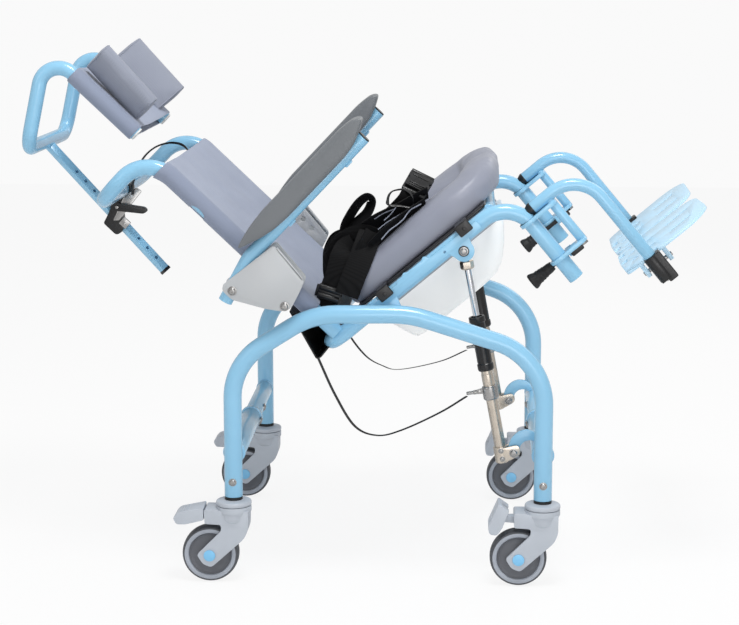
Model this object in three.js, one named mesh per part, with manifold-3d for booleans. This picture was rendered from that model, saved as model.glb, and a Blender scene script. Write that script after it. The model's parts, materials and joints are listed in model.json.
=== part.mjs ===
import * as THREE from 'three';
import { mergeVertices } from 'three/addons/utils/BufferGeometryUtils.js';
import Module from 'manifold-3d';

const wasm = await Module();
wasm.setup();

// Millimetres, Z up, floor at Z = 0, the chair faces +X and its right side is at -Y.

// Angles in degrees.
const SEAT_TILT = 40;
const BACK_LEAN = 6.5;
const BEND_STEP = 22.5;
const FRONT_PEDAL_TILT = 55;
const STEM_TURN = 45;

// Common gaps and wall thicknesses.
const GAP = 0.3;
const WELD = 2;
const PLATE = 5;
const THIN = 3;

// Base: two arched side tubes and two telescopic cross tubes.
const RAIL_Y = 240;
const TRACK_GAP = 40;
const TRACK_Y = RAIL_Y + TRACK_GAP;
const LEG_X = 271;
const LEG_FOOT_Z = 152.7;
const SIDE_TUBE_R = 16;
const SIDE_TUBE_BENDS = [[-LEG_X, 389.5, 110], [-130.8, 478.4, 150], [38.1, 479.9, 200], [LEG_X, 406.7, 118]];
const CROSS_Z = 228;
const INNER_TUBE_R = 16;
const SLEEVE_WALL = 2.7;
const SLEEVE_R = INNER_TUBE_R + GAP + SLEEVE_WALL;
const SLEEVE_END_Y = 15;
const SLEEVE_RING = 12;
const INNER_END_Y = -100;
const BORE_REST = 8;

// Tilt pivot and the two struts.
const PIVOT_X = 6.3;
const PIVOT_Z = 482.3;
const PIVOT_BOSS_R = 10;
const PIVOT_PIN_R = 5;
const PIVOT_HEAD_R = 7.5;
const PIVOT_HEAD = 4;
const STRUT_GAP = 28;
const STRUT_Y = RAIL_Y - STRUT_GAP;
const STRUT_TOP_U = 162;
const STRUT_TOP_W = 1;
const STRUT_FOOT_X = 221;
const STRUT_FOOT_Z = 222;
const STRUT_OFFSET = 21.5;
const ROD_R = 6;
const ROD_LENGTH = 250;
const ROD_END = [22, 40, 12.5];
const EYE_R = 15.5;
const EYE_HOLE_R = 8.5;
const EYE_HALF = 9;
const TUBE_R = 10;
const TUBE_TOP = 128;
const TUBE_BOTTOM = 392;
const BORE_DEPTH = 224;
const COVER_WALL = 2;
const COVER_TOP = 124;
const COVER_BOTTOM = 222;
const COVER_LIP = 3;
const COVER_COLLAR_R = 14.5;
const COVER_COLLAR = 10;
const HEAD_TOP = 250;
const HEAD_BOTTOM = 275;
const HEAD_R = 14;
const LEVER_ARM = [38, 254, 262, 4];
const CLEVIS_HUG = 30;
const CLEVIS_WALL = 3;
const CLEVIS_EAR_R = 14;
const FOOT_PIN_R = 5;
const HOOK_HALF = 5;
const HOOK_BOSS_R = 9.5;
const HOOK_OUTLINE = [
  [210.5, 220], [213, 214.5], [221, 212], [229, 215.5], [231.5, 223], [232, 233], [240, 242], [252, 244],
  [268, 236], [271, 246], [258, 260], [240, 263], [226, 257], [216, 246], [211, 232],
];

// Casters, measured from the hub.
const STEM_TRAIL = 41.5;
const HUB_Z = 50;
const TYRE_R = 50;
const TYRE_HALF = 16;
const RIM_R = 47;
const RIM_HALF = 15;
const RIM_STEP_R = 39;
const DISC_HALF = 9;
const AXLE_R = 6;
const FORK_HALF = 24;
const FORK_INNER_HALF = 18;
const FORK_CLEAR_R = 53.5;
const SWIVEL_R = 31;
const SWIVEL_TOP = 87.5;
const SWIVEL_BOTTOM = 79;
const DISC_R = 31.5;
const DISC_TOP = 96;
const COLLAR_R = 15;
const STEM_PIN_R = 6;
const STEM_PIN_DEPTH = 10;
const FORK_OUTLINE = [
  [68.6, 80, 0], [68.6, 49, 8], [62, 33, 0], [1, -20.5, 5], [-12, -15, 5], [-22, 0.7, 5], [21.8, 45, 6],
  [20.8, 55.4, 0], [-8, 57, 0], [-8.9, 84, 5], [12.5, 84, 0], [17.5, 82, 0],
];
const ARM_HALF = 9;
const PEDAL_X = -36;
const PEDAL_Z = 69;
const PEDAL_TIP_R = 6;
const PEDAL_PIN_R = 3.5;
const PEDAL_OUTLINE = [[26.5, 17, 2], [-22, 7, 5], [-27, -2, 3], [-22, -12, 4], [-6, -14, 4], [26.5, -5, 2]];
const PEDAL_SLOT_END = -9;
const PEDAL_SLOT_TOP = 8;

// Seat frame, measured from the tilt pivot along and across the rail.
const RAIL_W = 20.3;
const FRAME_R = 14;
const SEAT_FRONT_U = 281;
const SEAT_REAR_U = -125;
const SEAT_BEND_R = 60;
const REAR_BEND_R = 45;
const POST_END_W = -161;
const CROSS_U = 234;
const PLATE_INNER_Y = 253;
const PLATE_OUTLINE = [
  [-30, 13], [212, 13], [212, 29], [140, 29], [107, 30], [106, 35], [101, 39], [95, 35], [63, 35], [57, 39],
  [51, 35], [38, 35], [37, 30], [-7, 30], [-8, 36], [-24, 36], [-26, 28], [-30, 26],
];
const PIVOT_LUG_R = 18;
const STRUT_LUG_R = 18.5;
const STRUT_LUG_OUTLINE = [[136, 20], [145.5, -4], [178.5, -4], [184, 20]];
const PIVOT_LUG_OUTLINE = [[-24, 20], [-17, -4], [17, -4], [24, 20]];
const STRUT_PIN_R = 5;
const STRUT_BOSS_R = 13;
const STRUT_BOSS_Y = 222;
const INNER_LUG = [195, 200];
const INNER_LUG_OUTLINE = [[148, 8], [150, -8], [162, -14], [174, -8], [176, 8], [174, 28], [150, 28]];
const LUG_BRIDGE = [150, 174, 23, 28];

// Back frame, measured from the foot of the cane.
const BACK_U = -101;
const BACK_TOP = 464;
const BACK_ARM = 122;
const BACK_BEND_R = 60;
const FAT = 0.6;

// Soft backrest sleeve.
const CLOTH = 2.4;
const SLING_STATIONS = [[66, 0, 0], [180, 0, 0], [300, 0, 0], [402, 0, 0.2], [415, 1.2, 0.9], [427, 4.6, 1.9]];
const SLING_SAG = 9;
const SLING_ARC_STEPS = 6;
const SLING_SPAN_STEPS = 4;

// Black flap that closes the gap behind the seat.
const FLAP_OUTLINE = [[-20, 64], [-34, 96], [-64, 1], [-56, -3], [2, 2], [2, 30]];
const FLAP_INSET = 19;
const FLAP_HALF = RAIL_Y - FLAP_INSET;
const FLAP_WALL = 3;

// Armrests, in the frame of the back.
const SHEET_Y = 309;
const BRACKET_OUTLINE = [
  [-71, 184, 5], [-71, 207, 6], [-62, 213, 0], [48, 197, 8], [39, 117, 8], [25, 111, 0], [-12, 100, 14],
  [-26, 108, 0], [-42, 131, 0],
];
const BRACKET_HOLES = [[28, 150, 5], [30, 175, 5]];
const FLANGE = [[49, 196], [40, 118], [37, 118.4], [46, 196.4]];
const FLANGE_DEPTH = 13;
const INNER_SHEET_Y = 258;
const ARM_Y = 296;
const ARM_R = 12.4;
const ARM_PIVOT_X = -59.3;
const ARM_PIVOT_Z = 195;
const ARM_START = [-84, 190];
const ARM_END_X = 286;
const ARM_Z = 212.5;
const ARM_BEND_R = 70;
const ARM_PIN_R = 5;
const SPACER_R = 8;
const SPACER_X = -16.3;
const SPACER_Z = 110.9;
const PAD_INNER_Y = 264;
const PAD_OUTER_Y = 326;
const PAD_EDGE = 7;
const PAD_OUTLINE = [
  [66, 212, 30], [266, 212, 24], [313, 236, 10], [300, 249, 20], [276, 252, 30], [48, 252, 30], [8, 236, 8],
];

// Headrest, in the frame of the back.
const HEAD_Y = 168;
const HEAD_TUBE_R = 13;
const HEAD_FOOT = 504;
const HEAD_TOP_Z = 720;
const HEAD_BEND_R = 36;
const HEAD_CROSS_X = -155;
const HEAD_CROSS_Z = 626;
const HEAD_CROSS_BEND = 35;
const STEM_HALF = 7.5;
const STEM_TOP = [HEAD_CROSS_X - WELD, HEAD_CROSS_Z + WELD / 2];
const STEM_FALL = [24, 325];
const STEM_FOOT = [STEM_TOP[0] - STEM_FALL[0], STEM_TOP[1] - STEM_FALL[1]];
const STEM_HOLE_PLACES = [30, 54, 78, 198, 222, 246];
const STEM_HOLE_REACH = 20;
const STEM_HOLE_R = 3;
const HEAD_SLING_STATIONS = [[506, 0, 0], [555, 0, 0], [605, 0, 0], [655, 0, 0]];
const HEAD_SAG = 6;
const WING_BOTTOM = 522;
const WING_TOP = 650;
const WING_PLAN = [
  [13.4, 112, 6], [70, 146, 12], [81, 170, 10], [62, 178, 12], [15, 144, 6],
];
const WING_EDGE = 8;
const CLAMP_HALF = 16;
const CLAMP_RING = 5;
const CLAMP_OUTLINE = [
  [-193, 461], [-193, 413], [-176, 410], [-150, 440], [-122, 445], [-122, 483], [-150, 478], [-156, 461],
];
const LEVER_ROOT = [-150, 447];
const LEVER_TIP = [-120, 406];
const LEVER_HALF = 5.5;
const LEVER_Y = [19, 31];
const LEVER_PIN_R = 3;
const LEVER_PIN_Y = 33;
const LEVER_EYE_R = 8;

// Seat cushion and the board under it.
const BOARD_BOTTOM = FRAME_R + RAIL_W + GAP;
const BOARD_TOP = 40;
const BOARD_HALF = 250;
const BOARD_REAR = -30;
const BOARD_FRONT = 240;
const HOLE_U = 130;
const HOLE_HALF_U = 96;
const HOLE_HALF_Y = 58;
const CLIP_SPANS = [[-2, 21], [176, 199]];
const CLIP_W = [22, 43];
const CLIP_Y = [258.3, 266];
const CUSHION_REAR = -40;
const CUSHION_FRONT = 296;
const CUSHION_HALF = 215;
const CUSHION_FRONT_R = 120;
const CUSHION_REAR_R = 45;
const CUSHION_TOP = 98;
const CUSHION_ROWS = 36;

// Commode pan and the runners that carry it.
const PAN_REAR = -52;
const PAN_FRONT = 240;
const PAN_HALF = 120;
const PAN_TOP = -2.5;
const PAN_DEPTH = 85.5;
const PAN_FLOOR_REAR = -25;
const PAN_FLOOR_FRONT = 150;
const PAN_FLOOR_HALF = 106;
const PAN_WALL = 2.5;
const PAN_RIM = 9;
const PAN_REAR_R = 50;
const PAN_FRONT_R = 85;
const RUNNER_GAP = 2;
const RUNNER_LIP = 9;
const RUNNER_REAR = -132;
const RUNNER_FRONT = 236;
const RUNNER_TIES = [[-132, -62], [224, 236]];

// Leg rests, in the frame of the seat.
const LEG_TUBE_R = 11;
const LEG_TOP_W = -18;
const LEG_FRONT_U = 402;
const LEG_BEND_R = 62;
const LEG_END_W = -212.2;
const LEG_START_U = 298;
const HANGER_PLATES = [[-36, -29], [-119, -112]];
const HANGER_PLATE_HALF = 17;
const PARALLEL_GAP = 50;
const PARALLEL_U = SEAT_FRONT_U + PARALLEL_GAP;
const PARALLEL_R = 8.5;
const HANGER_PLATE_FRONT = PARALLEL_U + PARALLEL_R;
const POST_COLLAR_R = 18.6;
const BEND_ROOM_R = 17.6;
const BEND_ROOM_W = -39;
const GRIP_W = -121.5;
const GRIP_ROOT_U = 262;
const GRIP_END_U = 214;
const GRIP_PIN_R = 4;
const GRIP_ROOT_R = 8;
const GRIP_END_R = 15;
const GRIP_GUIDE = [296, 308];
const GRIP_GUIDE_R = 8;
const GRIP_Y = 218;

// Footplates.
const FOOT_W = -219;
const FOOT_THICK = 5;
const FOOT_OUTLINE = [
  [352, 216, 20], [348, 96, 70], [352, 3, 45], [400, 3, 0], [480, 3, 60], [528, 36, 50], [510, 150, 60],
  [470, 205, 40], [436, 222, 6], [380, 222, 6],
];
const FOOT_SLOTS = [[432, 488, 46], [432, 488, 80], [380, 396, 40], [380, 396, 80], [380, 396, 120]];
const FOOT_SLOT_HALF = 2.2;
const HEEL_HOLE = [366, 150, 7, 15];
const HINGE_Y = 201;
const HINGE_W = -238;
const HINGE_PIN_R = 4;
const HINGE_BEARING_R = 8;
const HINGE_WEB_HALF = 7;
const HINGE_SHELF_TOP = -252;
const HINGE_BLOCK = [388, 420, -268, -212.5, 226, 254];
const FOOT_LUGS = [[376, 384], [424, 432]];
const FOOT_LUG_R = 10;

// Cables and straps.
const CABLE_R = 2.4;
const CABLE_SIDES = 6;
const LOWER_CABLES = {
  right: [
    [-128.4, 386.9, 196], [-97, 318, 198], [-62, 262, 200], [-22, 246, 202],
    [22, 257, 205], [90, 291, 210], [136.6, 321, 212],
  ],
  left: [
    [-104.5, 403, 196], [-98, 358, 198], [-64, 311, 200], [-30, 290, 202],
    [5, 282, 205], [84, 298, 210], [136.6, 321, 212],
  ],
};
const UPPER_CABLE = [
  [-116, 441, -26], [-96, 462, -12], [-62, 480, 15], [-45, 479, 32], [-26, 474, 52], [-23, 448, 70],
];
const STRAP_LOOPS = [
  [[-84, 64], [-62, 122], [-20, 162], [30, 150], [-4, 114], [-52, 98], [-62, 76]],
  [[-30, 105], [20, 128], [60, 150], [98, 176], [76, 132], [30, 112]],
  [[-60, 88], [-40, 101], [60, 101.4], [130, 101.2], [178, 103]],
  [[60, 105], [120, 128], [152, 168], [178, 140], [130, 110]],
];
const STRAP_THICK = 5;
const STRAP_EDGES = [[120, 196], [112, 160], [84, 200], [84, 124]];

// Colours.
const BLUE = 0x8fc3e4;
const PALE_BLUE = 0xb9dcf4;
const CLOTH_GREY = 0x8b93a8;
const CUSHION_GREY = 0x84878d;
const PAD_GREY = 0x777b7e;
const CASTER_GREY = 0xb9bfc9;
const TYRE_GREY = 0x5c5f66;
const BLACK = 0x17181a;
const NICKEL = 0xc9bfb2;
const CHROME = 0xd9dce0;
const PAN_WHITE = 0xf1efea;
const PLATE_GREY = 0xc9ccce;

// Angles turned into radians.
const rad = THREE.MathUtils.degToRad;

// Path whose rings stand only at its ends and along its round bends.
class BendPath extends THREE.Curve {
  constructor(corners, radii) {
    super();
    this.rings = [];
    const count = corners.length;
    this.addRing(corners[0], corners[1].clone().sub(corners[0]).normalize());
    for (let i = 1; i < count - 1; i += 1) {
      this.addBend(corners[i - 1], corners[i], corners[i + 1], radii[i - 1]);
    }
    this.addRing(corners[count - 1], corners[count - 1].clone().sub(corners[count - 2]).normalize());
  }

  addRing(point, direction) {
    this.rings.push({ point: point.clone(), direction: direction.clone() });
  }

  addBend(before, corner, after, radius) {
    const along = corner.clone().sub(before).normalize();
    const onward = after.clone().sub(corner).normalize();
    const turn = along.angleTo(onward);
    const axis = along.clone().cross(onward).normalize();
    const inward = axis.clone().cross(along);
    const start = corner.clone().addScaledVector(along, -radius * Math.tan(turn / 2));
    const centre = start.clone().addScaledVector(inward, radius);
    const steps = Math.max(2, Math.ceil(turn / rad(BEND_STEP)));
    for (let k = 0; k <= steps; k += 1) {
      const angle = (turn * k) / steps;
      const spoke = inward.clone().negate().applyAxisAngle(axis, angle);
      this.addRing(centre.clone().addScaledVector(spoke, radius), along.clone().applyAxisAngle(axis, angle));
    }
  }

  ringAt(t) {
    return this.rings[Math.round(t * (this.rings.length - 1))];
  }

  getPoint(t, target = new THREE.Vector3()) {
    return target.copy(this.ringAt(t).point);
  }

  getPointAt(t, target = new THREE.Vector3()) {
    return target.copy(this.ringAt(t).point);
  }

  getTangentAt(t, target = new THREE.Vector3()) {
    return target.copy(this.ringAt(t).direction);
  }
}

// Geometry with positions and triangle corners only.
function bare(geometry) {
  const copy = geometry.clone();
  copy.deleteAttribute('normal');
  copy.deleteAttribute('uv');
  const merged = mergeVertices(copy);
  const corners = merged.index.array;
  const kept = [];
  for (let i = 0; i < corners.length; i += 3) {
    const [a, b, c] = corners.slice(i, i + 3);
    if (a !== b && b !== c && c !== a) {
      kept.push(a, b, c);
    }
  }
  merged.setIndex(kept);
  return merged;
}

function toSolid(geometry) {
  const clean = bare(geometry);
  return new wasm.Manifold(new wasm.Mesh({
    numProp: 3,
    vertProperties: new Float32Array(clean.attributes.position.array),
    triVerts: new Uint32Array(clean.index.array),
  }));
}

function fromSolid(solid) {
  const mesh = solid.getMesh();
  const geometry = new THREE.BufferGeometry();
  geometry.setAttribute('position', new THREE.BufferAttribute(new Float32Array(mesh.vertProperties), 3));
  geometry.setIndex(new THREE.BufferAttribute(new Uint32Array(mesh.triVerts), 1));
  return geometry;
}

function join(...pieces) {
  return fromSolid(pieces.map(toSolid).reduce((whole, piece) => whole.add(piece)));
}

function cut(body, ...tools) {
  return fromSolid(tools.map(toSolid).reduce((whole, tool) => whole.subtract(tool), toSolid(body)));
}

// Copy on the other side of the middle plane, its triangles turned round again.
function mirrored(geometry) {
  const copy = bare(geometry).scale(1, -1, 1);
  const corners = copy.index.array;
  for (let i = 0; i < corners.length; i += 3) {
    [corners[i + 1], corners[i + 2]] = [corners[i + 2], corners[i + 1]];
  }
  return copy;
}

function circleShape(radius, sides) {
  const points = [];
  for (let k = 0; k < sides; k += 1) {
    const angle = ((k + 0.5) * 2 * Math.PI) / sides;
    points.push(new THREE.Vector2(radius * Math.cos(angle), radius * Math.sin(angle)));
  }
  return new THREE.Shape(points);
}

// Flat outline whose third number, where given, rounds that corner.
function roundShape(outline) {
  const shape = new THREE.Shape();
  const count = outline.length;
  for (let i = 0; i < count; i += 1) {
    const [x, y, radius = 0] = outline[i];
    const corner = new THREE.Vector2(x, y);
    const before = new THREE.Vector2(...outline[(i + count - 1) % count].slice(0, 2));
    const after = new THREE.Vector2(...outline[(i + 1) % count].slice(0, 2));
    const back = before.sub(corner);
    const on = after.sub(corner);
    const reach = Math.min(radius, back.length() / 2.05, on.length() / 2.05);
    const enter = corner.clone().addScaledVector(back.normalize(), reach);
    const leave = corner.clone().addScaledVector(on.normalize(), reach);
    if (i === 0) {
      shape.moveTo(enter.x, enter.y);
    } else {
      shape.lineTo(enter.x, enter.y);
    }
    if (reach > 0) {
      shape.quadraticCurveTo(corner.x, corner.y, leave.x, leave.y);
    }
  }
  return shape;
}

function tube(corners, radii, radius, sides = 10) {
  const path = new BendPath(corners.map((p) => new THREE.Vector3(...p)), radii);
  return new THREE.ExtrudeGeometry(circleShape(radius, sides), {
    steps: path.rings.length - 1,
    extrudePath: path,
    bevelEnabled: false,
  });
}

function bar(from, to, radius, sides = 10) {
  return tube([from, to], [], radius, sides);
}

// Round cutter that leaves the usual gap all round a shaft of this radius.
function bore(from, to, radius, sides = 10) {
  return bar(from, to, (radius + GAP) / Math.cos(Math.PI / sides), sides);
}

function sideBore(x, z, radius, fromY, toY, sides = 10) {
  return bore([x, fromY, z], [x, toY, z], radius, sides);
}

function block(from, to) {
  const low = new THREE.Vector3(...from).min(new THREE.Vector3(...to));
  const high = new THREE.Vector3(...from).max(new THREE.Vector3(...to));
  const size = high.clone().sub(low);
  const middle = high.add(low).multiplyScalar(1 / 2);
  return new THREE.BoxGeometry(size.x, size.y, size.z).translate(middle.x, middle.y, middle.z);
}

// Plate with its outline in the X-Z plane, between two Y values.
function sidePlate(outline, fromY, toY) {
  const geometry = new THREE.ExtrudeGeometry(roundShape(outline), {
    depth: Math.abs(toY - fromY),
    steps: 1,
    curveSegments: 2,
    bevelEnabled: false,
  });
  return geometry.rotateX(Math.PI / 2).translate(0, Math.max(fromY, toY), 0);
}

// Plate with its outline in the X-Y plane, between two Z values.
function planPlate(outline, fromZ, toZ, holes = []) {
  const shape = roundShape(outline);
  shape.holes.push(...holes);
  const geometry = new THREE.ExtrudeGeometry(shape, {
    depth: toZ - fromZ,
    steps: 1,
    curveSegments: 3,
    bevelEnabled: false,
  });
  return geometry.translate(0, 0, fromZ);
}

// Outline moved inwards by a distance, corner by corner.
function insetOutline(points, distance) {
  const count = points.length;
  return points.map((p, i) => {
    const before = points[(i + count - 1) % count];
    const after = points[(i + 1) % count];
    const run = after.clone().sub(before).normalize();
    return new THREE.Vector2(p.x - run.y * distance, p.y + run.x * distance);
  });
}

// Cushion-like block on an X-Y outline with softly rounded upper and lower edges.
function softBlock(outline, fromZ, toZ, edge) {
  const points = roundShape(outline).getPoints(2);
  if (points[0].distanceTo(points[points.length - 1]) < GAP) {
    points.pop();
  }
  const steps = [[0, 1], [0.3, 0.35], [1, 0]];
  const lower = steps.map(([rise, inset]) => [fromZ + edge * rise, insetOutline(points, edge * inset)]);
  const upper = steps.map(([rise, inset]) => [toZ - edge * rise, insetOutline(points, edge * inset)]).reverse();
  return skin([...lower, ...upper].map(([z, row]) => row.map((p) => [p.x, p.y, z])), false);
}

function disc(x, z, radius, fromY, toY, sides = 16) {
  return bar([x, fromY, z], [x, toY, z], radius, sides);
}

function lathe(profile, sides) {
  return new THREE.LatheGeometry(profile.map((p) => new THREE.Vector2(...p)), sides);
}

// Skin over rows of points; the rows close into a ring or end in fans.
function skin(rows, ring) {
  const width = rows[0].length;
  const positions = rows.flat(2);
  const corners = [];
  const last = ring ? rows.length : rows.length - 1;
  for (let i = 0; i < last; i += 1) {
    const next = (i + 1) % rows.length;
    for (let j = 0; j < width; j += 1) {
      const side = (j + 1) % width;
      corners.push(i * width + j, i * width + side, next * width + side);
      corners.push(i * width + j, next * width + side, next * width + j);
    }
  }
  if (!ring) {
    const middleOf = (row) => row.reduce((s, p) => s.map((v, k) => v + p[k] / width), [0, 0, 0]);
    const start = positions.length / 3;
    positions.push(...middleOf(rows[0]), ...middleOf(rows[rows.length - 1]));
    const offset = (rows.length - 1) * width;
    for (let j = 0; j < width; j += 1) {
      const side = (j + 1) % width;
      corners.push(start, side, j);
      corners.push(start + 1, offset + j, offset + side);
    }
  }
  const geometry = new THREE.BufferGeometry();
  geometry.setAttribute('position', new THREE.Float32BufferAttribute(positions, 3));
  geometry.setIndex(corners);
  return geometry;
}

function paint(color, roughness, metalness = 0) {
  return { color, roughness, metalness };
}

const COAT = paint(BLUE, 0.25);
const STEEL = paint(NICKEL, 0.3, 0.9);
const DARK = paint(BLACK, 0.5);
const SHELL = paint(CASTER_GREY, 0.45);
const FABRIC = paint(CLOTH_GREY, 0.9);

function place(group, name, geometry, look) {
  const mesh = new THREE.Mesh(bare(geometry), new THREE.MeshStandardMaterial(look));
  mesh.geometry.computeVertexNormals();
  mesh.name = name;
  group.add(mesh);
}

function placePair(group, name, geometry, look) {
  place(group, `${name}_right`, geometry, look);
  place(group, `${name}_left`, mirrored(geometry), look);
}

// Seat frame tube, also used a little thicker to cut room for its neighbours.
function seatTube(radius) {
  return tube(
    [
      [SEAT_FRONT_U, -RAIL_Y, POST_END_W], [SEAT_FRONT_U, -RAIL_Y, RAIL_W], [SEAT_REAR_U, -RAIL_Y, RAIL_W],
      [SEAT_REAR_U, RAIL_Y, RAIL_W], [SEAT_FRONT_U, RAIL_Y, RAIL_W], [SEAT_FRONT_U, RAIL_Y, POST_END_W],
    ],
    [SEAT_BEND_R, REAR_BEND_R, REAR_BEND_R, SEAT_BEND_R],
    radius,
  );
}

function backTube(radius) {
  return tube(
    [
      [0, -RAIL_Y, 0], [0, -RAIL_Y, BACK_TOP], [-BACK_ARM, -RAIL_Y, BACK_TOP],
      [-BACK_ARM, RAIL_Y, BACK_TOP], [0, RAIL_Y, BACK_TOP], [0, RAIL_Y, 0],
    ],
    [BACK_BEND_R, BACK_BEND_R, BACK_BEND_R, BACK_BEND_R],
    radius,
  );
}

// Lower strut eye and the lean of the strut that follows from it.
const tilt = rad(SEAT_TILT);
const strutTopX = PIVOT_X + STRUT_TOP_U * Math.cos(tilt) - STRUT_TOP_W * Math.sin(tilt);
const strutTopZ = PIVOT_Z + STRUT_TOP_U * Math.sin(tilt) + STRUT_TOP_W * Math.cos(tilt);
const strutReach = Math.hypot(strutTopX - STRUT_FOOT_X, strutTopZ - STRUT_FOOT_Z);
const strutLean = Math.atan2(STRUT_FOOT_X - strutTopX, strutTopZ - STRUT_FOOT_Z) - Math.asin(STRUT_OFFSET / strutReach);
const strutFootDown = Math.sqrt(strutReach ** 2 - STRUT_OFFSET ** 2);

function buildBase(root) {
  const sideTube = tube(
    [
      [-LEG_X, -TRACK_Y, LEG_FOOT_Z],
      ...SIDE_TUBE_BENDS.map(([x, z]) => [x, -TRACK_Y, z]),
      [LEG_X, -TRACK_Y, LEG_FOOT_Z],
    ],
    SIDE_TUBE_BENDS.map((bend) => bend[2]),
    SIDE_TUBE_R,
  );
  const pivot = join(
    disc(PIVOT_X, PIVOT_Z, PIVOT_BOSS_R, -TRACK_Y, -PLATE_INNER_Y - PLATE - GAP, 12),
    disc(PIVOT_X, PIVOT_Z, PIVOT_PIN_R, -TRACK_Y, -PLATE_INNER_Y + PIVOT_HEAD, 12),
    disc(PIVOT_X, PIVOT_Z, PIVOT_HEAD_R, -PLATE_INNER_Y + GAP, -PLATE_INNER_Y + PIVOT_HEAD, 12),
  );
  const hook = join(
    sidePlate(HOOK_OUTLINE, -STRUT_Y - HOOK_HALF, -STRUT_Y + HOOK_HALF),
    disc(STRUT_FOOT_X, STRUT_FOOT_Z, HOOK_BOSS_R, -STRUT_Y - TUBE_R, -STRUT_Y + TUBE_R, 12),
    disc(
      STRUT_FOOT_X,
      STRUT_FOOT_Z,
      FOOT_PIN_R,
      -STRUT_Y - TUBE_R - CLEVIS_WALL - GAP,
      -STRUT_Y + TUBE_R + CLEVIS_WALL + GAP,
      12,
    ),
  );
  const side = join(sideTube, pivot, hook);
  let right = side;
  let left = mirrored(side);
  [-LEG_X, LEG_X].forEach((x) => {
    const sleeve = bar([x, -TRACK_Y + SIDE_TUBE_R / 2, CROSS_Z], [x, SLEEVE_END_Y, CROSS_Z], SLEEVE_R);
    const ring = bar([x, SLEEVE_END_Y - SLEEVE_RING, CROSS_Z], [x, SLEEVE_END_Y, CROSS_Z], SLEEVE_R + WELD);
    const inside = bore([x, INNER_END_Y - BORE_REST, CROSS_Z], [x, SLEEVE_END_Y + WELD, CROSS_Z], INNER_TUBE_R);
    right = cut(join(right, sleeve, ring), inside);
    left = join(left, bar([x, TRACK_Y, CROSS_Z], [x, INNER_END_Y, CROSS_Z], INNER_TUBE_R));
  });
  place(root, 'base_side_tube_right', right, COAT);
  place(root, 'base_side_tube_left', left, COAT);
}

function forkGeometry() {
  const body = cut(
    sidePlate(FORK_OUTLINE, -FORK_HALF, FORK_HALF),
    disc(0, 0, FORK_CLEAR_R, -FORK_INNER_HALF, FORK_INNER_HALF, 16),
  );
  const turntable = bar([STEM_TRAIL, 0, SWIVEL_BOTTOM - BORE_REST], [STEM_TRAIL, 0, SWIVEL_TOP], SWIVEL_R, 14);
  const arm = join(
    sidePlate(
      [
        [PEDAL_X, PEDAL_Z - PEDAL_TIP_R], [0, PEDAL_Z - PEDAL_TIP_R],
        [0, PEDAL_Z + PEDAL_TIP_R], [PEDAL_X, PEDAL_Z + PEDAL_TIP_R],
      ],
      -ARM_HALF,
      ARM_HALF,
    ),
    disc(PEDAL_X, PEDAL_Z, PEDAL_TIP_R, -ARM_HALF, ARM_HALF, 8),
    disc(PEDAL_X, PEDAL_Z, PEDAL_PIN_R, -FORK_HALF, FORK_HALF, 6),
  );
  const stemHole = bore(
    [STEM_TRAIL, 0, SWIVEL_TOP - STEM_PIN_DEPTH - GAP],
    [STEM_TRAIL, 0, SWIVEL_TOP + WELD],
    STEM_PIN_R,
    8,
  );
  const axle = disc(0, 0, AXLE_R, -FORK_INNER_HALF - WELD, FORK_INNER_HALF + WELD, 8);
  return join(cut(join(body, turntable, arm), stemHole), axle);
}

function pedalGeometry() {
  const plate = sidePlate(PEDAL_OUTLINE, -FORK_HALF, FORK_HALF);
  const slot = block(
    [PEDAL_SLOT_END, -ARM_HALF - GAP, -FORK_HALF],
    [2 * FORK_HALF, ARM_HALF + GAP, PEDAL_SLOT_TOP],
  );
  const hole = sideBore(0, 0, PEDAL_PIN_R, -FORK_HALF - WELD, FORK_HALF + WELD, 6);
  return cut(plate, slot, hole);
}

function wheelGeometry() {
  const inside = AXLE_R + 2 * GAP;
  return lathe(
    [
      [inside, -DISC_HALF], [RIM_STEP_R, -DISC_HALF], [RIM_STEP_R + WELD, -RIM_HALF], [RIM_R - THIN, -RIM_HALF],
      [RIM_R - THIN, RIM_HALF], [RIM_STEP_R + WELD, RIM_HALF], [RIM_STEP_R, DISC_HALF], [inside, DISC_HALF],
      [inside, -DISC_HALF],
    ],
    18,
  );
}

function tyreGeometry() {
  const inner = RIM_R - THIN + GAP;
  return lathe(
    [
      [inner, -RIM_HALF], [TYRE_R - WELD, -TYRE_HALF], [TYRE_R, -TYRE_HALF / 2], [TYRE_R, TYRE_HALF / 2],
      [TYRE_R - WELD, TYRE_HALF], [inner, RIM_HALF], [inner, -RIM_HALF],
    ],
    18,
  );
}

function stemGeometry() {
  const base = SWIVEL_TOP + GAP;
  return join(
    bar([STEM_TRAIL, 0, SWIVEL_TOP - STEM_PIN_DEPTH], [STEM_TRAIL, 0, DISC_TOP], STEM_PIN_R, 8),
    bar([STEM_TRAIL, 0, base], [STEM_TRAIL, 0, DISC_TOP], DISC_R, 14),
    bar([STEM_TRAIL, 0, DISC_TOP - WELD], [STEM_TRAIL, 0, LEG_FOOT_Z - HUB_Z - GAP], COLLAR_R, 12),
  );
}

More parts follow.
